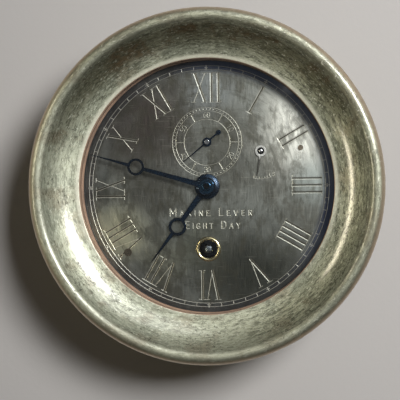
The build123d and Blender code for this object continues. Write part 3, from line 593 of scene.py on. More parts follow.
def rubber_material():
    """Black rubber, matt and finely pitted."""
    made, shader = new_material("gasket_rubber")
    fine = noise(object_space(), 1400.0, 4.0, 0.7)
    base = mix(fine, (0.012, 0.012, 0.012), (0.03, 0.03, 0.028))
    connect(shader, Base_Color=base, Roughness=0.75, Normal=bump(fine, 0.00003))
    return made


def pointer_material():
    """The regulator's pointer: a silvered ring with a darker blade."""
    made, shader = new_material("silvered_pointer")
    space = object_space()
    fine = noise(space, 1500.0, 3.0, 0.7)
    blade = between(radius_of(space, REGULATOR), 0.0034, 0.006)
    silver = two_tones(space, 300.0, 0.4, 0.6, (0.95, 0.95, 0.93), (0.7, 0.7, 0.67))
    base = layer(silver, blade, 0.9, (0.07, 0.065, 0.055))
    return grained(made, shader, base, fine, 0.3, 0.42, 0.000004, Metallic=1.0)


def dial_ring_material():
    """The ring round the dial: copper tarnish above, and painted shade, near black, where it meets the dial.
    """
    made, shader = new_material("dial_ring_copper_painted_shade")
    space = object_space()
    fine = noise(space, 1200.0, 3.0, 0.7)
    # Painted shade: the ring goes near black at its foot, where it meets the dial.
    foot = between(split(space)[1], -(DIAL_FRONT + 2.2) * MM, -(DIAL_FRONT + 1.6) * MM)
    copper = two_tones(space, 90.0, 0.4, 0.6, (0.5, 0.33, 0.24), (0.36, 0.24, 0.18))
    base = mix(foot, copper, (0.02, 0.02, 0.024))
    return grained(made, shader, base, fine, 0.45, 0.6, 0.000006, Metallic=0.2)


def straight_grain(name, colour, rough):
    """Plate brass with the straight grain of a rubbed surface."""
    made, shader = new_material(name)
    space = object_space()
    grain = noise(stretched(space, (150.0, 150.0, 3000.0)), 1.0, 3.0, 0.6)
    base = two_tones(space, 50.0, 0.35, 0.65, colour, tuple(0.82 * c for c in colour))
    return grained(made, shader, base, grain, rough, rough + 0.14, 0.000005, Metallic=1.0)


bezel_brass = bezel_material()
dial_brass = dial_material()
blued_steel = blued_material()
silvered = pointer_material()
dial_ring_copper_and_shade = dial_ring_material()
clear_glass = glass_material()
plate_brass = straight_grain("plate_brass", (0.78, 0.63, 0.33), 0.24)
case_brass = worn_metal("case_spun_brass", (0.55, 0.5, 0.33), (0.38, 0.35, 0.23), 0.34, 900.0, 0.00001, 0.6)
copper_brass = worn_metal(
    "ring_copper_brass", (0.5, 0.33, 0.24), (0.38, 0.25, 0.18), 0.5, 1200.0, 0.00001, 0.3, 0.3
)
bright_blued = worn_metal("blued_steel_polished", (0.045, 0.11, 0.19), (0.025, 0.06, 0.11), 0.16, 1500.0)
# Near black steel: dark steel on some parts, and painted shade on those seen down the winding hole.
dark_steel = worn_metal("near_black_steel_and_painted_shade", (0.03, 0.034, 0.042), (0.018, 0.02, 0.026), 0.2, 1500.0)
brown_steel = worn_metal("browned_steel", (0.26, 0.22, 0.17), (0.13, 0.11, 0.085), 0.3, 1500.0)
bright_brass = worn_metal("turned_bright_brass", (0.82, 0.72, 0.44), (0.66, 0.56, 0.33), 0.18, 1500.0)
wheel_brass = worn_metal("wheel_brass", (0.83, 0.66, 0.34), (0.72, 0.56, 0.28), 0.22, 1800.0)
square_steel = worn_metal("worn_winding_square", (0.3, 0.34, 0.38), (0.2, 0.23, 0.27), 0.26, 1500.0)
steel = worn_metal("polished_steel", (0.56, 0.57, 0.6), (0.42, 0.43, 0.46), 0.2, 1800.0)
spring_steel = worn_metal("spring_steel", (0.28, 0.31, 0.38), (0.2, 0.22, 0.28), 0.26, 1800.0)
# Dark bronze for the plate bushes, made dark as painted shade down the winding hole.
dark_bronze_painted_shade = worn_metal("dark_bronze_painted_shade", (0.12, 0.08, 0.045), (0.07, 0.05, 0.03), 0.4, 1500.0)

SLOT_MATERIALS = {
    "case_brass": case_brass,
    "bezel_brass": copper_brass,
    "dial_brass": dial_brass,
    "bright_brass": bright_brass,
    "plate_brass": plate_brass,
    "wheel_brass": wheel_brass,
    "steel": steel,
    "blued_steel": blued_steel,
    "spring_steel": spring_steel,
    "ruby": ruby_material(),
    "glass": clear_glass,
    "gasket_rubber": rubber_material(),
}
# Dark steel for these nodes; on the ratchet wheel and barrel arbor, seen down the winding hole, its near
# black is painted shade. The plate bushes get dark bronze as painted shade.
DARK_NODES = ("barrel_arbor", "regulator_arm", "ratchet_wheel", "cannon_pinion", "centre_arbor")
NODE_MATERIALS = {name: dark_steel for name in DARK_NODES}
NODE_MATERIALS.update(dial_screws=brown_steel, plate_bushes=dark_bronze_painted_shade)
for part in frame["record"]["subparts"]:
    shown = frame["nodes"][part["node"]]
    shown.data.materials.clear()
    shown.data.materials.append(NODE_MATERIALS.get(part["node"], SLOT_MATERIALS[part["material_slot"]]))

# ---- bezel, glass and rings

BEZEL_RADIUS = reach("bezel")
BEZEL_BACK = span("bezel")[0]
APERTURE = 76.2
LIP_HEIGHT = 58.5
LIP_SLOPE = 8.0
COVE = 32.0
BEAD = 4.8
WALL = 3.5
SKIRT = 86.95
SKIRT_BORE = 83.25
RING_BORE = 81.0


def bezel_profile():
    """The bezel's half section: a cove from lip to round bead, a skirt, and the glass seat inside."""
    slope = math.radians(LIP_SLOPE)
    centre = (APERTURE - COVE * math.sin(slope), LIP_HEIGHT + COVE * math.cos(slope))
    lean = math.degrees(math.acos((BEZEL_RADIUS - BEAD - centre[0]) / (COVE + BEAD)))
    bead_centre = arc(centre, COVE + BEAD, -lean, -lean, 1)[0]
    skirt_lean = math.degrees(math.acos((SKIRT - centre[0]) / (COVE + WALL)))
    seat = GLASS_BACK - 0.1
    shoulder = span("bezel_gasket")[1]
    bore = reach("glass") + 0.3
    profile = arc((APERTURE + 0.5, LIP_HEIGHT - 0.45), 0.5, 190, 110, 5)
    profile += arc(centre, COVE, LIP_SLOPE - 88.5, -lean, 40)
    profile += arc(bead_centre, BEAD, 180 - lean, -60, 40)[1:]
    profile += arc(centre, COVE + WALL, -lean - 8, -skirt_lean, 16)
    profile += [(SKIRT, BEZEL_BACK + 0.8), (SKIRT - 0.2, BEZEL_BACK + 0.25), (SKIRT - 0.8, BEZEL_BACK)]
    profile += [(SKIRT_BORE, BEZEL_BACK), (SKIRT_BORE, shoulder), (RING_BORE, shoulder), (RING_BORE, seat)]
    profile += [(bore, seat), (bore, GLASS_FRONT), (APERTURE, GLASS_FRONT)]
    return profile


def glass_profile():
    """The glass's half section, with its edges taken off."""
    radius, off = reach("glass"), 0.4
    back = [(0, GLASS_BACK), (radius - off, GLASS_BACK), (radius, GLASS_BACK + off)]
    return back + [(radius, GLASS_FRONT - off), (radius - off, GLASS_FRONT), (0, GLASS_FRONT)]


def glass_ring_profile():
    """The half section of the ring that holds the glass, round where it can be seen."""
    low, high = span("glass_retaining_ring")
    outer = RING_BORE - 0.1
    section = arc((APERTURE + 0.9, low + 0.6), 0.6, 180, 270, 6)
    return section + [(outer, low), (outer, high), (APERTURE + 0.3, high)]


def dial_ring_profile():
    """The half section of the ring round the dial: a foot on the dial and a plain bore above it."""
    low, high = span("dial_ring")
    outer = reach("dial_ring")
    bore = APERTURE + 1.4
    top = [(outer, high), (bore + 0.3, high), (bore, high - 0.3)]
    foot = [(bore, low + 3.0), (bore - 0.5, low + 2.6), (APERTURE + 0.1, low + 1.6)]
    return [(APERTURE + 0.1, low), (outer, low)] + top + foot


piece("bezel_turned", lathe(bezel_profile(), 360), "bezel", ["bezel"], bezel_brass)
piece("glass_disc", lathe(glass_profile(), 256), "bezel", ["glass"], clear_glass)
glass_ring = lathe(glass_ring_profile(), 256)
piece("glass_ring_turned", glass_ring, "bezel", ["glass_retaining_ring"], copper_brass)
piece("dial_ring_turned", lathe(dial_ring_profile(), 256), "case", ["dial_ring"], dial_ring_copper_and_shade)

# ---- dial

Line = namedtuple("Line", "start end half")
Ring = namedtuple("Ring", "centre radius half start end")

SLOPE = math.tan(math.radians(24))
THICK = 0.78
THIN = 0.3
SERIF = 0.26
NUMERAL_IN = 51.4
NUMERAL_OUT = 69.0
TRACK_IN = 71.2
TRACK_OUT = 73.4
TRACK_MIDDLE = 72.3
SECONDS_RINGS = ((21.2, 0.25), (19.2, 0.22), (14.0, 0.24))
SECONDS_NUMBERS = 16.6
UPRIGHT_TENS = (1, 5, 6)
SCALE_RADIUS = 16.9
SCALE_START = 160
SCALE_END = 196
SCALE_STEPS = 6
WORD_HEIGHT = 3.1
INITIAL_HEIGHT = 4.4
WORD_HALF = 0.36
DIAL_SCREWS = ((231.2, 63.7), (68.1, 61.0))


def numeral_strokes(kind, across):
    """One letter of a Roman numeral, as (start, end, half width) in (across, out) millimetres."""
    low, high = NUMERAL_IN, NUMERAL_OUT
    if kind == "I":
        ends = [(across, high, 1.9), (across, low, 1.9)]
        strokes = [((across, low), (across, high), THICK)]
    elif kind == "V":
        tip = (across + 0.2, low)
        strokes = [((across - 3.3, high), tip, THICK), ((across + 3.2, high), tip, THIN)]
        ends = [(across - 3.3, high, 1.8), (across + 3.2, high, 1.3)]
    else:
        strokes = [
            ((across - 3.1, high), (across + 3.1, low), THICK),
            ((across + 3.3, high), (across - 3.5, low), THIN),
        ]
        ends = [(across - 3.1, high, 1.8), (across + 3.1, low, 1.8)]
        ends += [(across + 3.3, high, 1.2), (across - 3.5, low, 1.2)]
    serifs = [((a - half, out), (a + half, out), SERIF) for a, out, half in ends]
    return strokes + serifs


# Each hour's letters, with their places across in mm.
NUMERALS = {
    1: [("I", 0)],
    2: [("I", -2.1), ("I", 2.1)],
    3: [("I", -4.2), ("I", 0), ("I", 4.2)],
    4: [("I", -5.1), ("I", -1.7), ("I", 1.7), ("I", 5.1)],
    5: [("V", 0)],
    6: [("V", -2.4), ("I", 4.0)],
    7: [("V", -4.6), ("I", 1.9), ("I", 5.8)],
    8: [("V", -6.2), ("I", 0.2), ("I", 3.9), ("I", 7.6)],
    9: [("I", -5.6), ("X", 1.4)],
    10: [("X", 0)],
    11: [("X", -2.2), ("I", 4.8)],
    12: [("X", -4.2), ("I", 2.9), ("I", 7.1)],
}

# A plain stroke font, one unit high: each text is one line drawn through its points.
LETTERS = {
    "M": ["0,0 0,1 .4,.3 .8,1 .8,0"],
    "A": ["0,0 .35,1 .7,0", ".13,.35 .57,.35"],
    "R": ["0,0 0,1 .4,1 .55,.87 .55,.65 .4,.52 0,.52", ".3,.52 .6,0"],
    "I": ["0,0 0,1"],
    "N": ["0,0 0,1 .6,0 .6,1"],
    "E": [".5,1 0,1 0,0 .5,0", "0,.52 .42,.52"],
    "L": ["0,1 0,0 .5,0"],
    "V": ["0,1 .35,0 .7,1"],
    "G": [".62,.85 .45,1 .2,1 0,.75 0,.25 .2,0 .45,0 .62,.15 .62,.45 .4,.45"],
    "H": ["0,0 0,1", ".55,0 .55,1", "0,.52 .55,.52"],
    "T": ["0,1 .6,1", ".3,1 .3,0"],
    "D": ["0,0 0,1 .35,1 .6,.75 .6,.25 .35,0 0,0"],
    "Y": ["0,1 .32,.5 .64,1", ".32,.5 .32,0"],
    "S": [".52,.85 .38,1 .14,1 0,.85 0,.65 .14,.52 .38,.48 .52,.35 .52,.15 .38,0 .14,0 0,.15"],
    " ": [".3,0 .3,0"],
    "0": [".15,0 .35,0 .5,.25 .5,.75 .35,1 .15,1 0,.75 0,.25 .15,0"],
    "1": ["0,.75 .2,1 .2,0"],
    "2": ["0,.8 .12,1 .38,1 .5,.8 .5,.65 0,0 .5,0"],
    "3": ["0,.85 .14,1 .36,1 .5,.85 .5,.65 .36,.52 .2,.52", ".36,.52 .5,.38 .5,.15 .36,0 .14,0 0,.15"],
    "4": [".38,0 .38,1 0,.3 .55,.3"],
    "5": [".48,1 .06,1 0,.55 .32,.6 .5,.42 .5,.18 .34,0 .12,0 0,.15"],
    "6": [".45,.95 .25,1 .08,.8 0,.45 0,.2 .15,0 .35,0 .5,.2 .5,.38 .35,.55 .15,.55 0,.38"],
}


def letter_lines(letter):
    """A letter's strokes as lists of (across, up) points, one unit high."""
    return [[tuple(float(v) for v in pair.split(",")) for pair in line.split()] for line in LETTERS[letter]]


def engraved_words(words, centre, width, height, initial, half, angle=0.0):
    """Cuts one line of plain letters, spaced to a width. Each word's first letter may stand taller."""
    heights = [initial if k == 0 or words[k - 1] == " " else height for k in range(len(words))]
    widths = [max(x for line in letter_lines(c) for x, _ in line) * h for c, h in zip(words, heights)]
    gap = (width - sum(widths)) / max(1, len(words) - 1)
    cuts, across = [], -width / 2
    for letter, letter_height, letter_width in zip(words, heights, widths):
        for line in letter_lines(letter):
            spots = [
                clock_point(angle, y * letter_height - height / 2, across + x * letter_height, centre)
                for x, y in line
            ]
            cuts += [Line(a, b, half) for a, b in zip(spots, spots[1:]) if a != b]
        across += letter_width + gap
    return cuts


def track_cuts():
    """The minute track: two rings, a dash each minute and a cross every five."""
    cuts = [Ring(CENTRE, radius, 0.24, 0, 360) for radius in (TRACK_IN, TRACK_OUT)]
    for minute in range(60):
        angle = 6 * minute
        if minute % 5:
            cuts.append(Line(clock_point(angle, 71.5), clock_point(angle, 73.1), 0.26))
        else:
            cuts.append(Line(clock_point(angle, 71.0), clock_point(angle, 73.7), 0.34))
            ends = [clock_point(angle, TRACK_MIDDLE, side) for side in (-0.9, 0.9)]
            cuts.append(Line(*ends, 0.34))
    return cuts


def numeral_cuts():
    """The twelve Roman numerals."""
    cuts = []
    for hour, letters in NUMERALS.items():
        for kind, across in letters:
            for start, end, half in numeral_strokes(kind, across):
                points = [clock_point(30 * hour, out, a) for a, out in (start, end)]
                cuts.append(Line(*points, half))
    return cuts


def seconds_cuts():
    """The seconds dial: three rings, dashes, longer lines between the tens, and the numbers 10 to 60."""
    cuts = [Ring(SECONDS, radius, half, 0, 360) for radius, half in SECONDS_RINGS]
    for second in range(60):
        angle = 6 * second
        if second % 10 == 5:
            ends = [clock_point(angle, out, 0, SECONDS) for out in (14.6, 19.0)]
            cuts.append(Line(*ends, 0.36))
        ends = [clock_point(angle, out, 0, SECONDS) for out in (20.0, 20.4)]
        cuts.append(Line(*ends, 0.3))
    for ten in range(1, 7):
        angle = 60 * ten
        place = clock_point(angle, SECONDS_NUMBERS, 0, SECONDS)
        turned = angle if ten in UPRIGHT_TENS else angle + 180
        cuts += engraved_words(f"{ten}0", place, 3.6, 3.0, 3.0, 0.2, turned)
    return cuts


def regulator_cuts():
    """The regulator's scale, with one letter at its slow end."""
    cuts = [Ring(REGULATOR, SCALE_RADIUS, 0.22, SCALE_START, SCALE_END)]
    for step in range(SCALE_STEPS + 1):
        angle = SCALE_START + (SCALE_END - SCALE_START) * step / SCALE_STEPS
        long = 2.6 if step in (0, SCALE_STEPS) else 1.2
        ends = [clock_point(angle, SCALE_RADIUS - far, 0, REGULATOR) for far in (0, long)]
        cuts.append(Line(*ends, 0.2))
    return cuts + engraved_words("S", clock_point(SCALE_START - 9, 16.0, 0, REGULATOR), 1.3, 2.3, 2.3, 0.2)


def dial_cuts():
    """Every engraved line on the dial."""
    cuts = track_cuts() + numeral_cuts() + seconds_cuts() + regulator_cuts()
    for words, place, width in (("MARINE LEVER", (1.8, -16.2), 50.0), ("EIGHT DAY", (3.0, -24.0), 33.0)):
        cuts += engraved_words(words, place, width, WORD_HEIGHT, INITIAL_HEIGHT, WORD_HALF)
    return cuts


def ring_distance(points, ring):
    """How far each point lies from a ring's line, or from its nearer end where the ring is open."""
    away = points - np.array(ring.centre)
    distance = np.abs(np.hypot(*away.T) - ring.radius)
    if ring.end - ring.start == 360:
        return distance
    clock = np.degrees(np.arctan2(away[:, 0], away[:, 1])) % 360
    tips = [np.array(clock_point(angle, ring.radius, 0, ring.centre)) for angle in (ring.start, ring.end)]
    to_tips = [np.hypot(*(points - tip).T) for tip in tips]
    return np.where((clock < ring.start) | (clock > ring.end), np.minimum(*to_tips), distance)


def line_distance(points, line):
    """How far each point lies from a straight line between its ends."""
    start = np.array(line.start)
    along = np.array(line.end) - start
    share = np.clip((points - start) @ along / max(along @ along, 1e-12), 0, 1)
    return np.hypot(*(points - start - share[:, None] * along).T)


def cut_depth(points, cuts):
    """How deep each point lies in the engraving. Each cut is a V, deepest on its line."""
    depth = np.zeros(len(points))
    for cut in cuts:
        distance = ring_distance(points, cut) if isinstance(cut, Ring) else line_distance(points, cut)
        depth = np.maximum(depth, (cut.half - distance) * SLOPE)
    return np.where(depth > 1e-5, depth, 0.0)


def cut_outline(cut):
    """The edges and the middle line of one cut, as two lists: outlines that close, and open lines."""
    if isinstance(cut, Ring):
        if cut.end - cut.start == 360:
            steps = int(cut.radius * 4.5) + 30
            return [circle(cut.centre, cut.radius + side * cut.half, steps) for side in (-1, 1, 0)], []
        steps = 24
        sides = []
        for side in (-1, 1, 0):
            angles = [cut.start + (cut.end - cut.start) * k / steps for k in range(steps + 1)]
            sides.append([clock_point(a, cut.radius + side * cut.half, 0, cut.centre) for a in angles])
        return [sides[0] + sides[1][::-1]], [sides[2]]
    start, end = Vector(cut.start), Vector(cut.end)
    turn = math.atan2(end.y - start.y, end.x - start.x)
    outline = []
    for tip, first in ((end, turn - math.pi / 2), (start, turn + math.pi / 2)):
        for k in range(5):
            a = first + math.pi * k / 4
            outline.append((tip.x + cut.half * math.cos(a), tip.y + cut.half * math.sin(a)))
    return [outline], [[cut.start, cut.end]]


def dial_lines(cuts, holes):
    """The points and edges that the plate's triangles have to keep: rim, holes and every cut."""
    loops = [circle(CENTRE, reach("dial"), 300)] + [circle(c, r, 64 if r > 3 else 32) for c, r in holes]
    lines = []
    for cut in cuts:
        closed, opened = cut_outline(cut)
        loops += closed
        lines += opened
    points, edges = [], []
    for loop in loops:
        base = len(points)
        points += [Vector(p) for p in loop]
        edges += [(base + k, base + (k + 1) % len(loop)) for k in range(len(loop))]
    for line in lines:
        base = len(points)
        points += [Vector(p) for p in line]
        edges += [(base + k, base + k + 1) for k in range(len(line) - 1)]
    return points, edges


def engraved_dial():
    """The dial plate as one closed shape, with every engraved line cut in as a V."""
    cuts = dial_cuts()
    holes = [(CENTRE, 4.2), (SECONDS, 1.4), (WINDING, 6.6), (REGULATOR, 2.12)]
    holes += [(clock_point(*place), 1.35) for place in DIAL_SCREWS]
    made, _, faces, _, _, _ = delaunay_2d_cdt(*dial_lines(cuts, holes), [], 0, 1e-6)
    flat = np.array([tuple(p) for p in made])
    radius = reach("dial")
    kept = []
    for face in faces:
        mid = flat[list(face)].mean(axis=0)
        in_hole = any(math.hypot(*(mid - c)) < r for c, r in holes)
        if math.hypot(*mid) <= radius and not in_hole:
            kept.append(list(face))
    count = len(flat)
    shape = [(x, z, DIAL_FRONT - d) for (x, z), d in zip(flat, cut_depth(flat, cuts))]
    shape += [(x, z, DIAL_BACK) for x, z in flat]
    all_faces = kept + [[count + i for i in face[::-1]] for face in kept]
    sides = {(a, b) for face in kept for a, b in zip(face, face[1:] + face[:1])}
    all_faces += [[b, a, count + a, count + b] for a, b in sorted(sides) if (b, a) not in sides]
    return shape, all_faces


piece("dial_engraved", engraved_dial(), "case", ["dial"], dial_brass, smooth=0)

# ---- hands

HOUR_ANGLE = 217.25
MINUTE_ANGLE = 286.0
SECONDS_ANGLE = 230.8
REGULATOR_ANGLE = 188.6
BLADE = 0.8
SOFT_JOIN = 14.0
TIP_HALF = 0.12

# Parts of a hand in mm: ("round", distance, radius) or ("bar", start, half width, end, half width).
HOUR_PARTS = [
    ("bar", 2.0, 2.1, 27.0, 1.25),
    ("round", 30.5, 5.5),
    ("bar", 34.0, 1.25, 58.4, 0.7),
    ("round", 0.0, 7.0),
]
MINUTE_PARTS = [
    ("bar", 2.0, 1.75, 41.5, 1.05),
    ("round", 44.9, 5.2),
    ("bar", 48.2, 1.05, 73.9, 0.55),
    ("round", 0.0, 5.2),
]
SECONDS_PARTS = [
    ("round", 0.0, 2.75),
    ("bar", 2.0, 0.5, 19.9, 0.22),
    ("bar", -9.2, 0.4, -2.0, 0.45),
    ("round", -9.2, 1.5),
]
POINTER_PARTS = [("round", 0.0, 3.5), ("bar", 2.5, 0.62, 15.5, 0.22)]


def hand_width(parts, distance):
    """A hand's half width at a distance from its centre, with the parts run softly into each other."""
    widths = [0.0]
    for part in parts:
        if part[0] == "round" and abs(distance - part[1]) < part[2]:
            widths.append(math.sqrt(part[2] ** 2 - (distance - part[1]) ** 2))
        elif part[0] == "bar" and part[1] <= distance <= part[3]:
            share = (distance - part[1]) / (part[3] - part[1])
            widths.append(part[2] + (part[4] - part[2]) * share)
    if max(widths) <= 0.05:
        return max(widths)
    return math.log(sum(math.exp(SOFT_JOIN * w) for w in widths)) / SOFT_JOIN


def hand_blade(angle, centre, parts, eyes, low, high, bevel, steps=28):
    """A flat hand that points at a clock angle, with round eyes given as (distance, radius)."""
    stops = set()
    for part in parts:
        if part[0] == "round":
            stops |= {part[1] - part[2] * math.cos(math.pi * k / steps) for k in range(steps + 1)}
        else:
            stops |= {part[1], part[3]}
    tail, tip = min(stops), max(stops)
    spaced = [tail]
    for stop in sorted(stops):
        if stop - spaced[-1] > 0.02:
            spaced.append(stop)
    right, left = [], []
    for distance in spaced:
        width = hand_width(parts, distance)
        if distance == tail or distance > tip - 0.01:
            width = min(width, TIP_HALF)
        right.append(clock_point(angle, distance, width, centre))
        left.append(clock_point(angle, distance, -width, centre))
    holes = [circle(clock_point(angle, distance, 0, centre), radius, 56) for distance, radius in eyes]
    return plate(right + left[::-1], holes, low, high, bevel)


def hour_hand():
    """The hour hand's blade on its boss, which reaches down to the hour wheel's pipe."""
    low = HOUR_LOW
    eyes = [(30.5, 3.7), (0.0, 3.0)]
    blade = hand_blade(HOUR_ANGLE, CENTRE, HOUR_PARTS, eyes, low, low + BLADE, 0.18)
    boss = [(3.05, low - 1.6), (4.0, low - 1.6), (4.1, low - 0.1)]
    boss += arc((7.0, low + 0.6), 0.7, -90, 60, 6)
    boss += arc((5.2, low + 0.7), 1.0, 60, 90, 4)
    boss += [(3.05, low + 1.7)]
    return combine(blade, lathe(boss, 96))


def minute_hand():
    """The minute hand's blade on its boss."""
    low = MINUTE_LOW
    eyes = [(44.9, 3.7), (0.0, 2.0)]
    blade = hand_blade(MINUTE_ANGLE, CENTRE, MINUTE_PARTS, eyes, low, low + BLADE, 0.18)
    boss = [(2.02, low), (5.2, low)]
    boss += arc((5.0, low + 0.5), 0.4, -60, 70, 5)
    boss += [(4.65, MINUTE_HIGH), (2.02, MINUTE_HIGH)]
    return combine(blade, lathe(boss, 96))


def washer():
    """The domed washer on the minute hand."""
    low, high = span("hand_washer")
    section = [(1.62, low), (4.6, low)]
    section += arc((4.35, low + 0.25), 0.25, 0, 90, 4)
    return lathe(section + [(3.4, high + 0.02), (1.62, high + 0.02)], 96)


def nut():
    """The round nut that holds the minute hand, with a small countersink."""
    low, high = span("hand_nut")
    section = [(1.62, low + 0.02), (2.9, low + 0.02)]
    section += arc((2.3, high - 0.6), 0.6, 0, 90, 6)
    return lathe(section + [(1.9, high), (1.62, high - 0.25)], 64)


def seconds_pipe():
    """The pipe in the eye of the seconds hand."""
    section = [(0.78, SECONDS_LOW - 0.6), (1.64, SECONDS_LOW - 0.6)]
    section += arc((1.34, SECONDS_HIGH + 0.15), 0.3, 0, 90, 4)
    return lathe(section + [(0.78, SECONDS_HIGH + 0.4)], 48, SECONDS)


def post_end():
    """The domed end of the regulator's post, from the arm up into the pointer's eye."""
    low = span("regulator_pointer")[0]
    section = [(0, span("regulator_arm")[1]), (1.7, span("regulator_arm")[1]), (1.7, low + 0.05)]
    return lathe(section + arc((0, low - 1.55), 2.35, 43.6, 90, 8), 48, REGULATOR)


seconds_hand = hand_blade(
    SECONDS_ANGLE, SECONDS, SECONDS_PARTS, [(0.0, 1.65)], SECONDS_LOW, SECONDS_HIGH, 0.1
)
pointer = hand_blade(
    REGULATOR_ANGLE, REGULATOR, POINTER_PARTS, [(0.0, 2.05)], *span("regulator_pointer"), 0.12
)
piece("hour_hand_blued", hour_hand(), "hour", ["hour_hand"], blued_steel)
piece("minute_hand_blued", minute_hand(), "minute", ["minute_hand"], blued_steel)
piece("hand_washer_turned", washer(), "minute", ["hand_washer"], bright_blued)
piece("hand_nut_turned", nut(), "minute", ["hand_nut"], bright_blued)
piece("seconds_hand_blued", seconds_hand, "seconds", ["seconds_hand"], blued_steel)
piece("seconds_pipe", seconds_pipe(), "seconds", [], steel)
piece("regulator_pointer_cut", pointer, "regulator", ["regulator_pointer"], silvered)
piece("regulator_post_end", post_end(), "regulator", [], steel)

# ---- winding hole

SQUARE_HALF = 2.32
# The winding square's rows from its foot to its worn end: scale, and mm below the end.
SQUARE_ROWS = [(1.0, 4.5), (1.0, 1.35), (0.96, 0.85), (0.86, 0.45), (0.68, 0.2), (0.42, 0.06), (0.15, 0.01)]


def winding_bush():
    """The raised ring round the winding hole."""
    low = span("winding_hole_bush")[0]
    section = [(5.4, low), (6.55, low), (6.55, DIAL_FRONT), (7.65, DIAL_FRONT)]
    section += arc((6.55, DIAL_FRONT - 0.3), 1.1, 16, 150, 12)
    return lathe(section + [(5.4, DIAL_FRONT - 0.1)], 128, WINDING)


def square_end():
    """The winding square's worn, rounded end, with softened corners."""
    top = DIAL_FRONT - 0.3
    corner = SQUARE_HALF * 0.45
    outline = []
    for quarter, (x, z) in enumerate(((1, 1), (-1, 1), (-1, -1), (1, -1))):
        place = (x * (SQUARE_HALF - corner), z * (SQUARE_HALF - corner))
        outline += arc(place, corner, 90 * quarter, 90 * quarter + 90, 6)
    points, faces = [], []
    for scale, below in SQUARE_ROWS:
        points += [(WINDING[0] + x * scale, WINDING[1] + z * scale, top - below) for x, z in outline]
    count = len(outline)
    last = len(points) - count
    for base in range(0, last, count):
        for k in range(count):
            n = (k + 1) % count
            faces.append([base + k, base + n, base + count + n, base + count + k])
    return points, faces + [list(range(last, last + count)), list(range(count))[::-1]]


piece("winding_bush_turned", winding_bush(), "case", ["winding_hole_bush"], bright_brass)
piece("winding_square_end", square_end(), "winding", [], square_steel, smooth=60)

# ---- wall, light and camera

WALL_HALF = 1.3
WALL_BACK = 0.0002
OPEN_WALL = 0.985


def wall_material():
    """Pale matt paint with a slight unevenness, seen only from the front, with none behind the clock."""
    made, shader = new_material("pale_wall_paint")
    space = object_space()
    tone = mix(noise(space, 3.0, 3.0), (0.60, 0.583, 0.572), (0.64, 0.628, 0.617))
    fine = noise(space, 260.0, 4.0, 0.6)
    connect(shader, Base_Color=tone, Roughness=0.85, Normal=bump(fine, 0.0001))
    clear = node("ShaderNodeBsdfTransparent").outputs[0]
    back = node("ShaderNodeNewGeometry").outputs["Backfacing"]
    open_radius = OPEN_WALL * reach("case_body") * MM
    behind = math_node("LESS_THAN", radius_of(space), open_radius)
    see_through = math_node("MAXIMUM", back, behind)
    show(node("ShaderNodeMixShader", {0: see_through, 1: shader.outputs[0], 2: clear}).outputs[0])
    return made


def make_wall():
    """The wall that the clock hangs on, just behind its back face."""
    mesh = bpy.data.meshes.new("wall")
    corners = [(x * WALL_HALF, WALL_BACK, z * WALL_HALF) for x, z in ((-1, -1), (1, -1), (1, 1), (-1, 1))]
    mesh.from_pydata(corners, [], [(0, 1, 2, 3)])
    mesh.materials.append(wall_material())
    wall = bpy.data.objects.new("wall", mesh)
    bpy.context.scene.collection.objects.link(wall)
    wall.visible_shadow = False


def area_light(name, clock, off_axis, distance, size, power, colour, diffuse=True, glossy=True):
    """A soft light in metres and watts, at a clock angle and an angle off the dial's axis."""
    lamp = bpy.data.lights.new(name, "AREA")
    lamp.shape = "RECTANGLE"
    lamp.size, lamp.size_y = size
    lamp.energy = power
    lamp.color = colour
    made = bpy.data.objects.new(name, lamp)
    a, t = math.radians(clock), math.radians(off_axis)
    made.location = distance * Vector((math.sin(t) * math.sin(a), -math.cos(t), math.sin(t) * math.cos(a)))
    made.rotation_mode = "QUATERNION"
    made.rotation_quaternion = (-made.location).to_track_quat("-Z", "Y")
    made.visible_diffuse = diffuse
    made.visible_glossy = glossy
    bpy.context.scene.collection.objects.link(made)


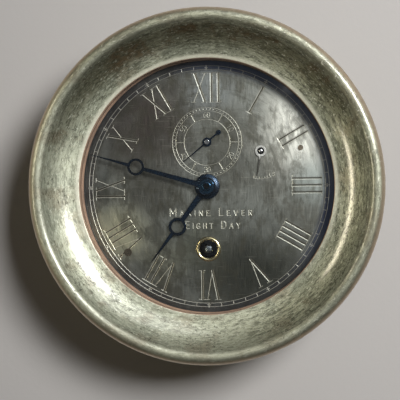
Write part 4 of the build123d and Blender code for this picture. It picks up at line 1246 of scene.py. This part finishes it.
def make_room():
    """A dim room for reflections, brighter in front and behind the wall, and pale to the camera."""
    world = bpy.data.worlds.new("room")
    bpy.context.scene.world = world
    world.use_nodes = True
    world.cycles_visibility.diffuse = False
    making["tree"] = world.node_tree
    direction = node("ShaderNodeTexCoord").outputs["Generated"]
    front = tuple(Vector((0.1, -1.0, 0.12)).normalized())
    facing = node("ShaderNodeVectorMath", {0: direction, 1: front}, operation="DOT_PRODUCT")
    share = between(facing.outputs["Value"], 0.55, 0.98)
    sky = mix(share, (0.014, 0.011, 0.008), (0.175, 0.18, 0.18))
    sky = mix(between(split(direction)[1], 0.02, 0.5), sky, (0.42, 0.41, 0.4))
    seen = node("ShaderNodeLightPath").outputs["Is Camera Ray"]
    sky = mix(seen, sky, (0.5, 0.485, 0.475))
    connect(world.node_tree.nodes["Background"], Color=sky, Strength=1.0)


CAMERA_PLACE = (0.0586, -0.6334, 0.0008)
CAMERA_TARGET = (-0.0018, cad_low[1], -0.0078)
CAMERA_ROLL = -0.75


def make_camera():
    """A long lens a little to the right of the clock, with the slight roll of a camera held by hand."""
    lens = bpy.data.cameras.new("camera")
    lens.sensor_width = 36.0
    lens.lens = 87.5
    lens.clip_start = 0.01
    camera = bpy.data.objects.new("camera", lens)
    bpy.context.scene.collection.objects.link(camera)
    camera.location = CAMERA_PLACE
    roll = Quaternion((0.0, 0.0, 1.0), math.radians(CAMERA_ROLL))
    camera.rotation_mode = "QUATERNION"
    aim = (Vector(CAMERA_TARGET) - camera.location).to_track_quat("-Z", "Y")
    camera.rotation_quaternion = aim @ roll
    bpy.context.scene.camera = camera


make_wall()
area_light("window", 56, 32, 1.15, (0.32, 0.32), 11.0, (1.0, 0.985, 0.965))
area_light("lamp_left", 278, 46, 1.2, (0.13, 0.75), 4.1, (1.0, 0.9, 0.68), diffuse=False)
area_light("window_glow", 26, 40, 1.2, (0.9, 0.6), 2.8, (1.0, 0.99, 0.97), diffuse=False)
area_light("shadow_fill", 0, 0, 1.3, (1.0, 1.0), 0.5, (1.0, 0.82, 0.66), glossy=False)
area_light("behind", 225, 140, 1.3, (0.8, 0.8), 6.0, (1.0, 0.98, 0.95))
make_room()
make_camera()
bpy.context.scene.view_settings.view_transform = "Standard"

bpy.context.view_layer.update()
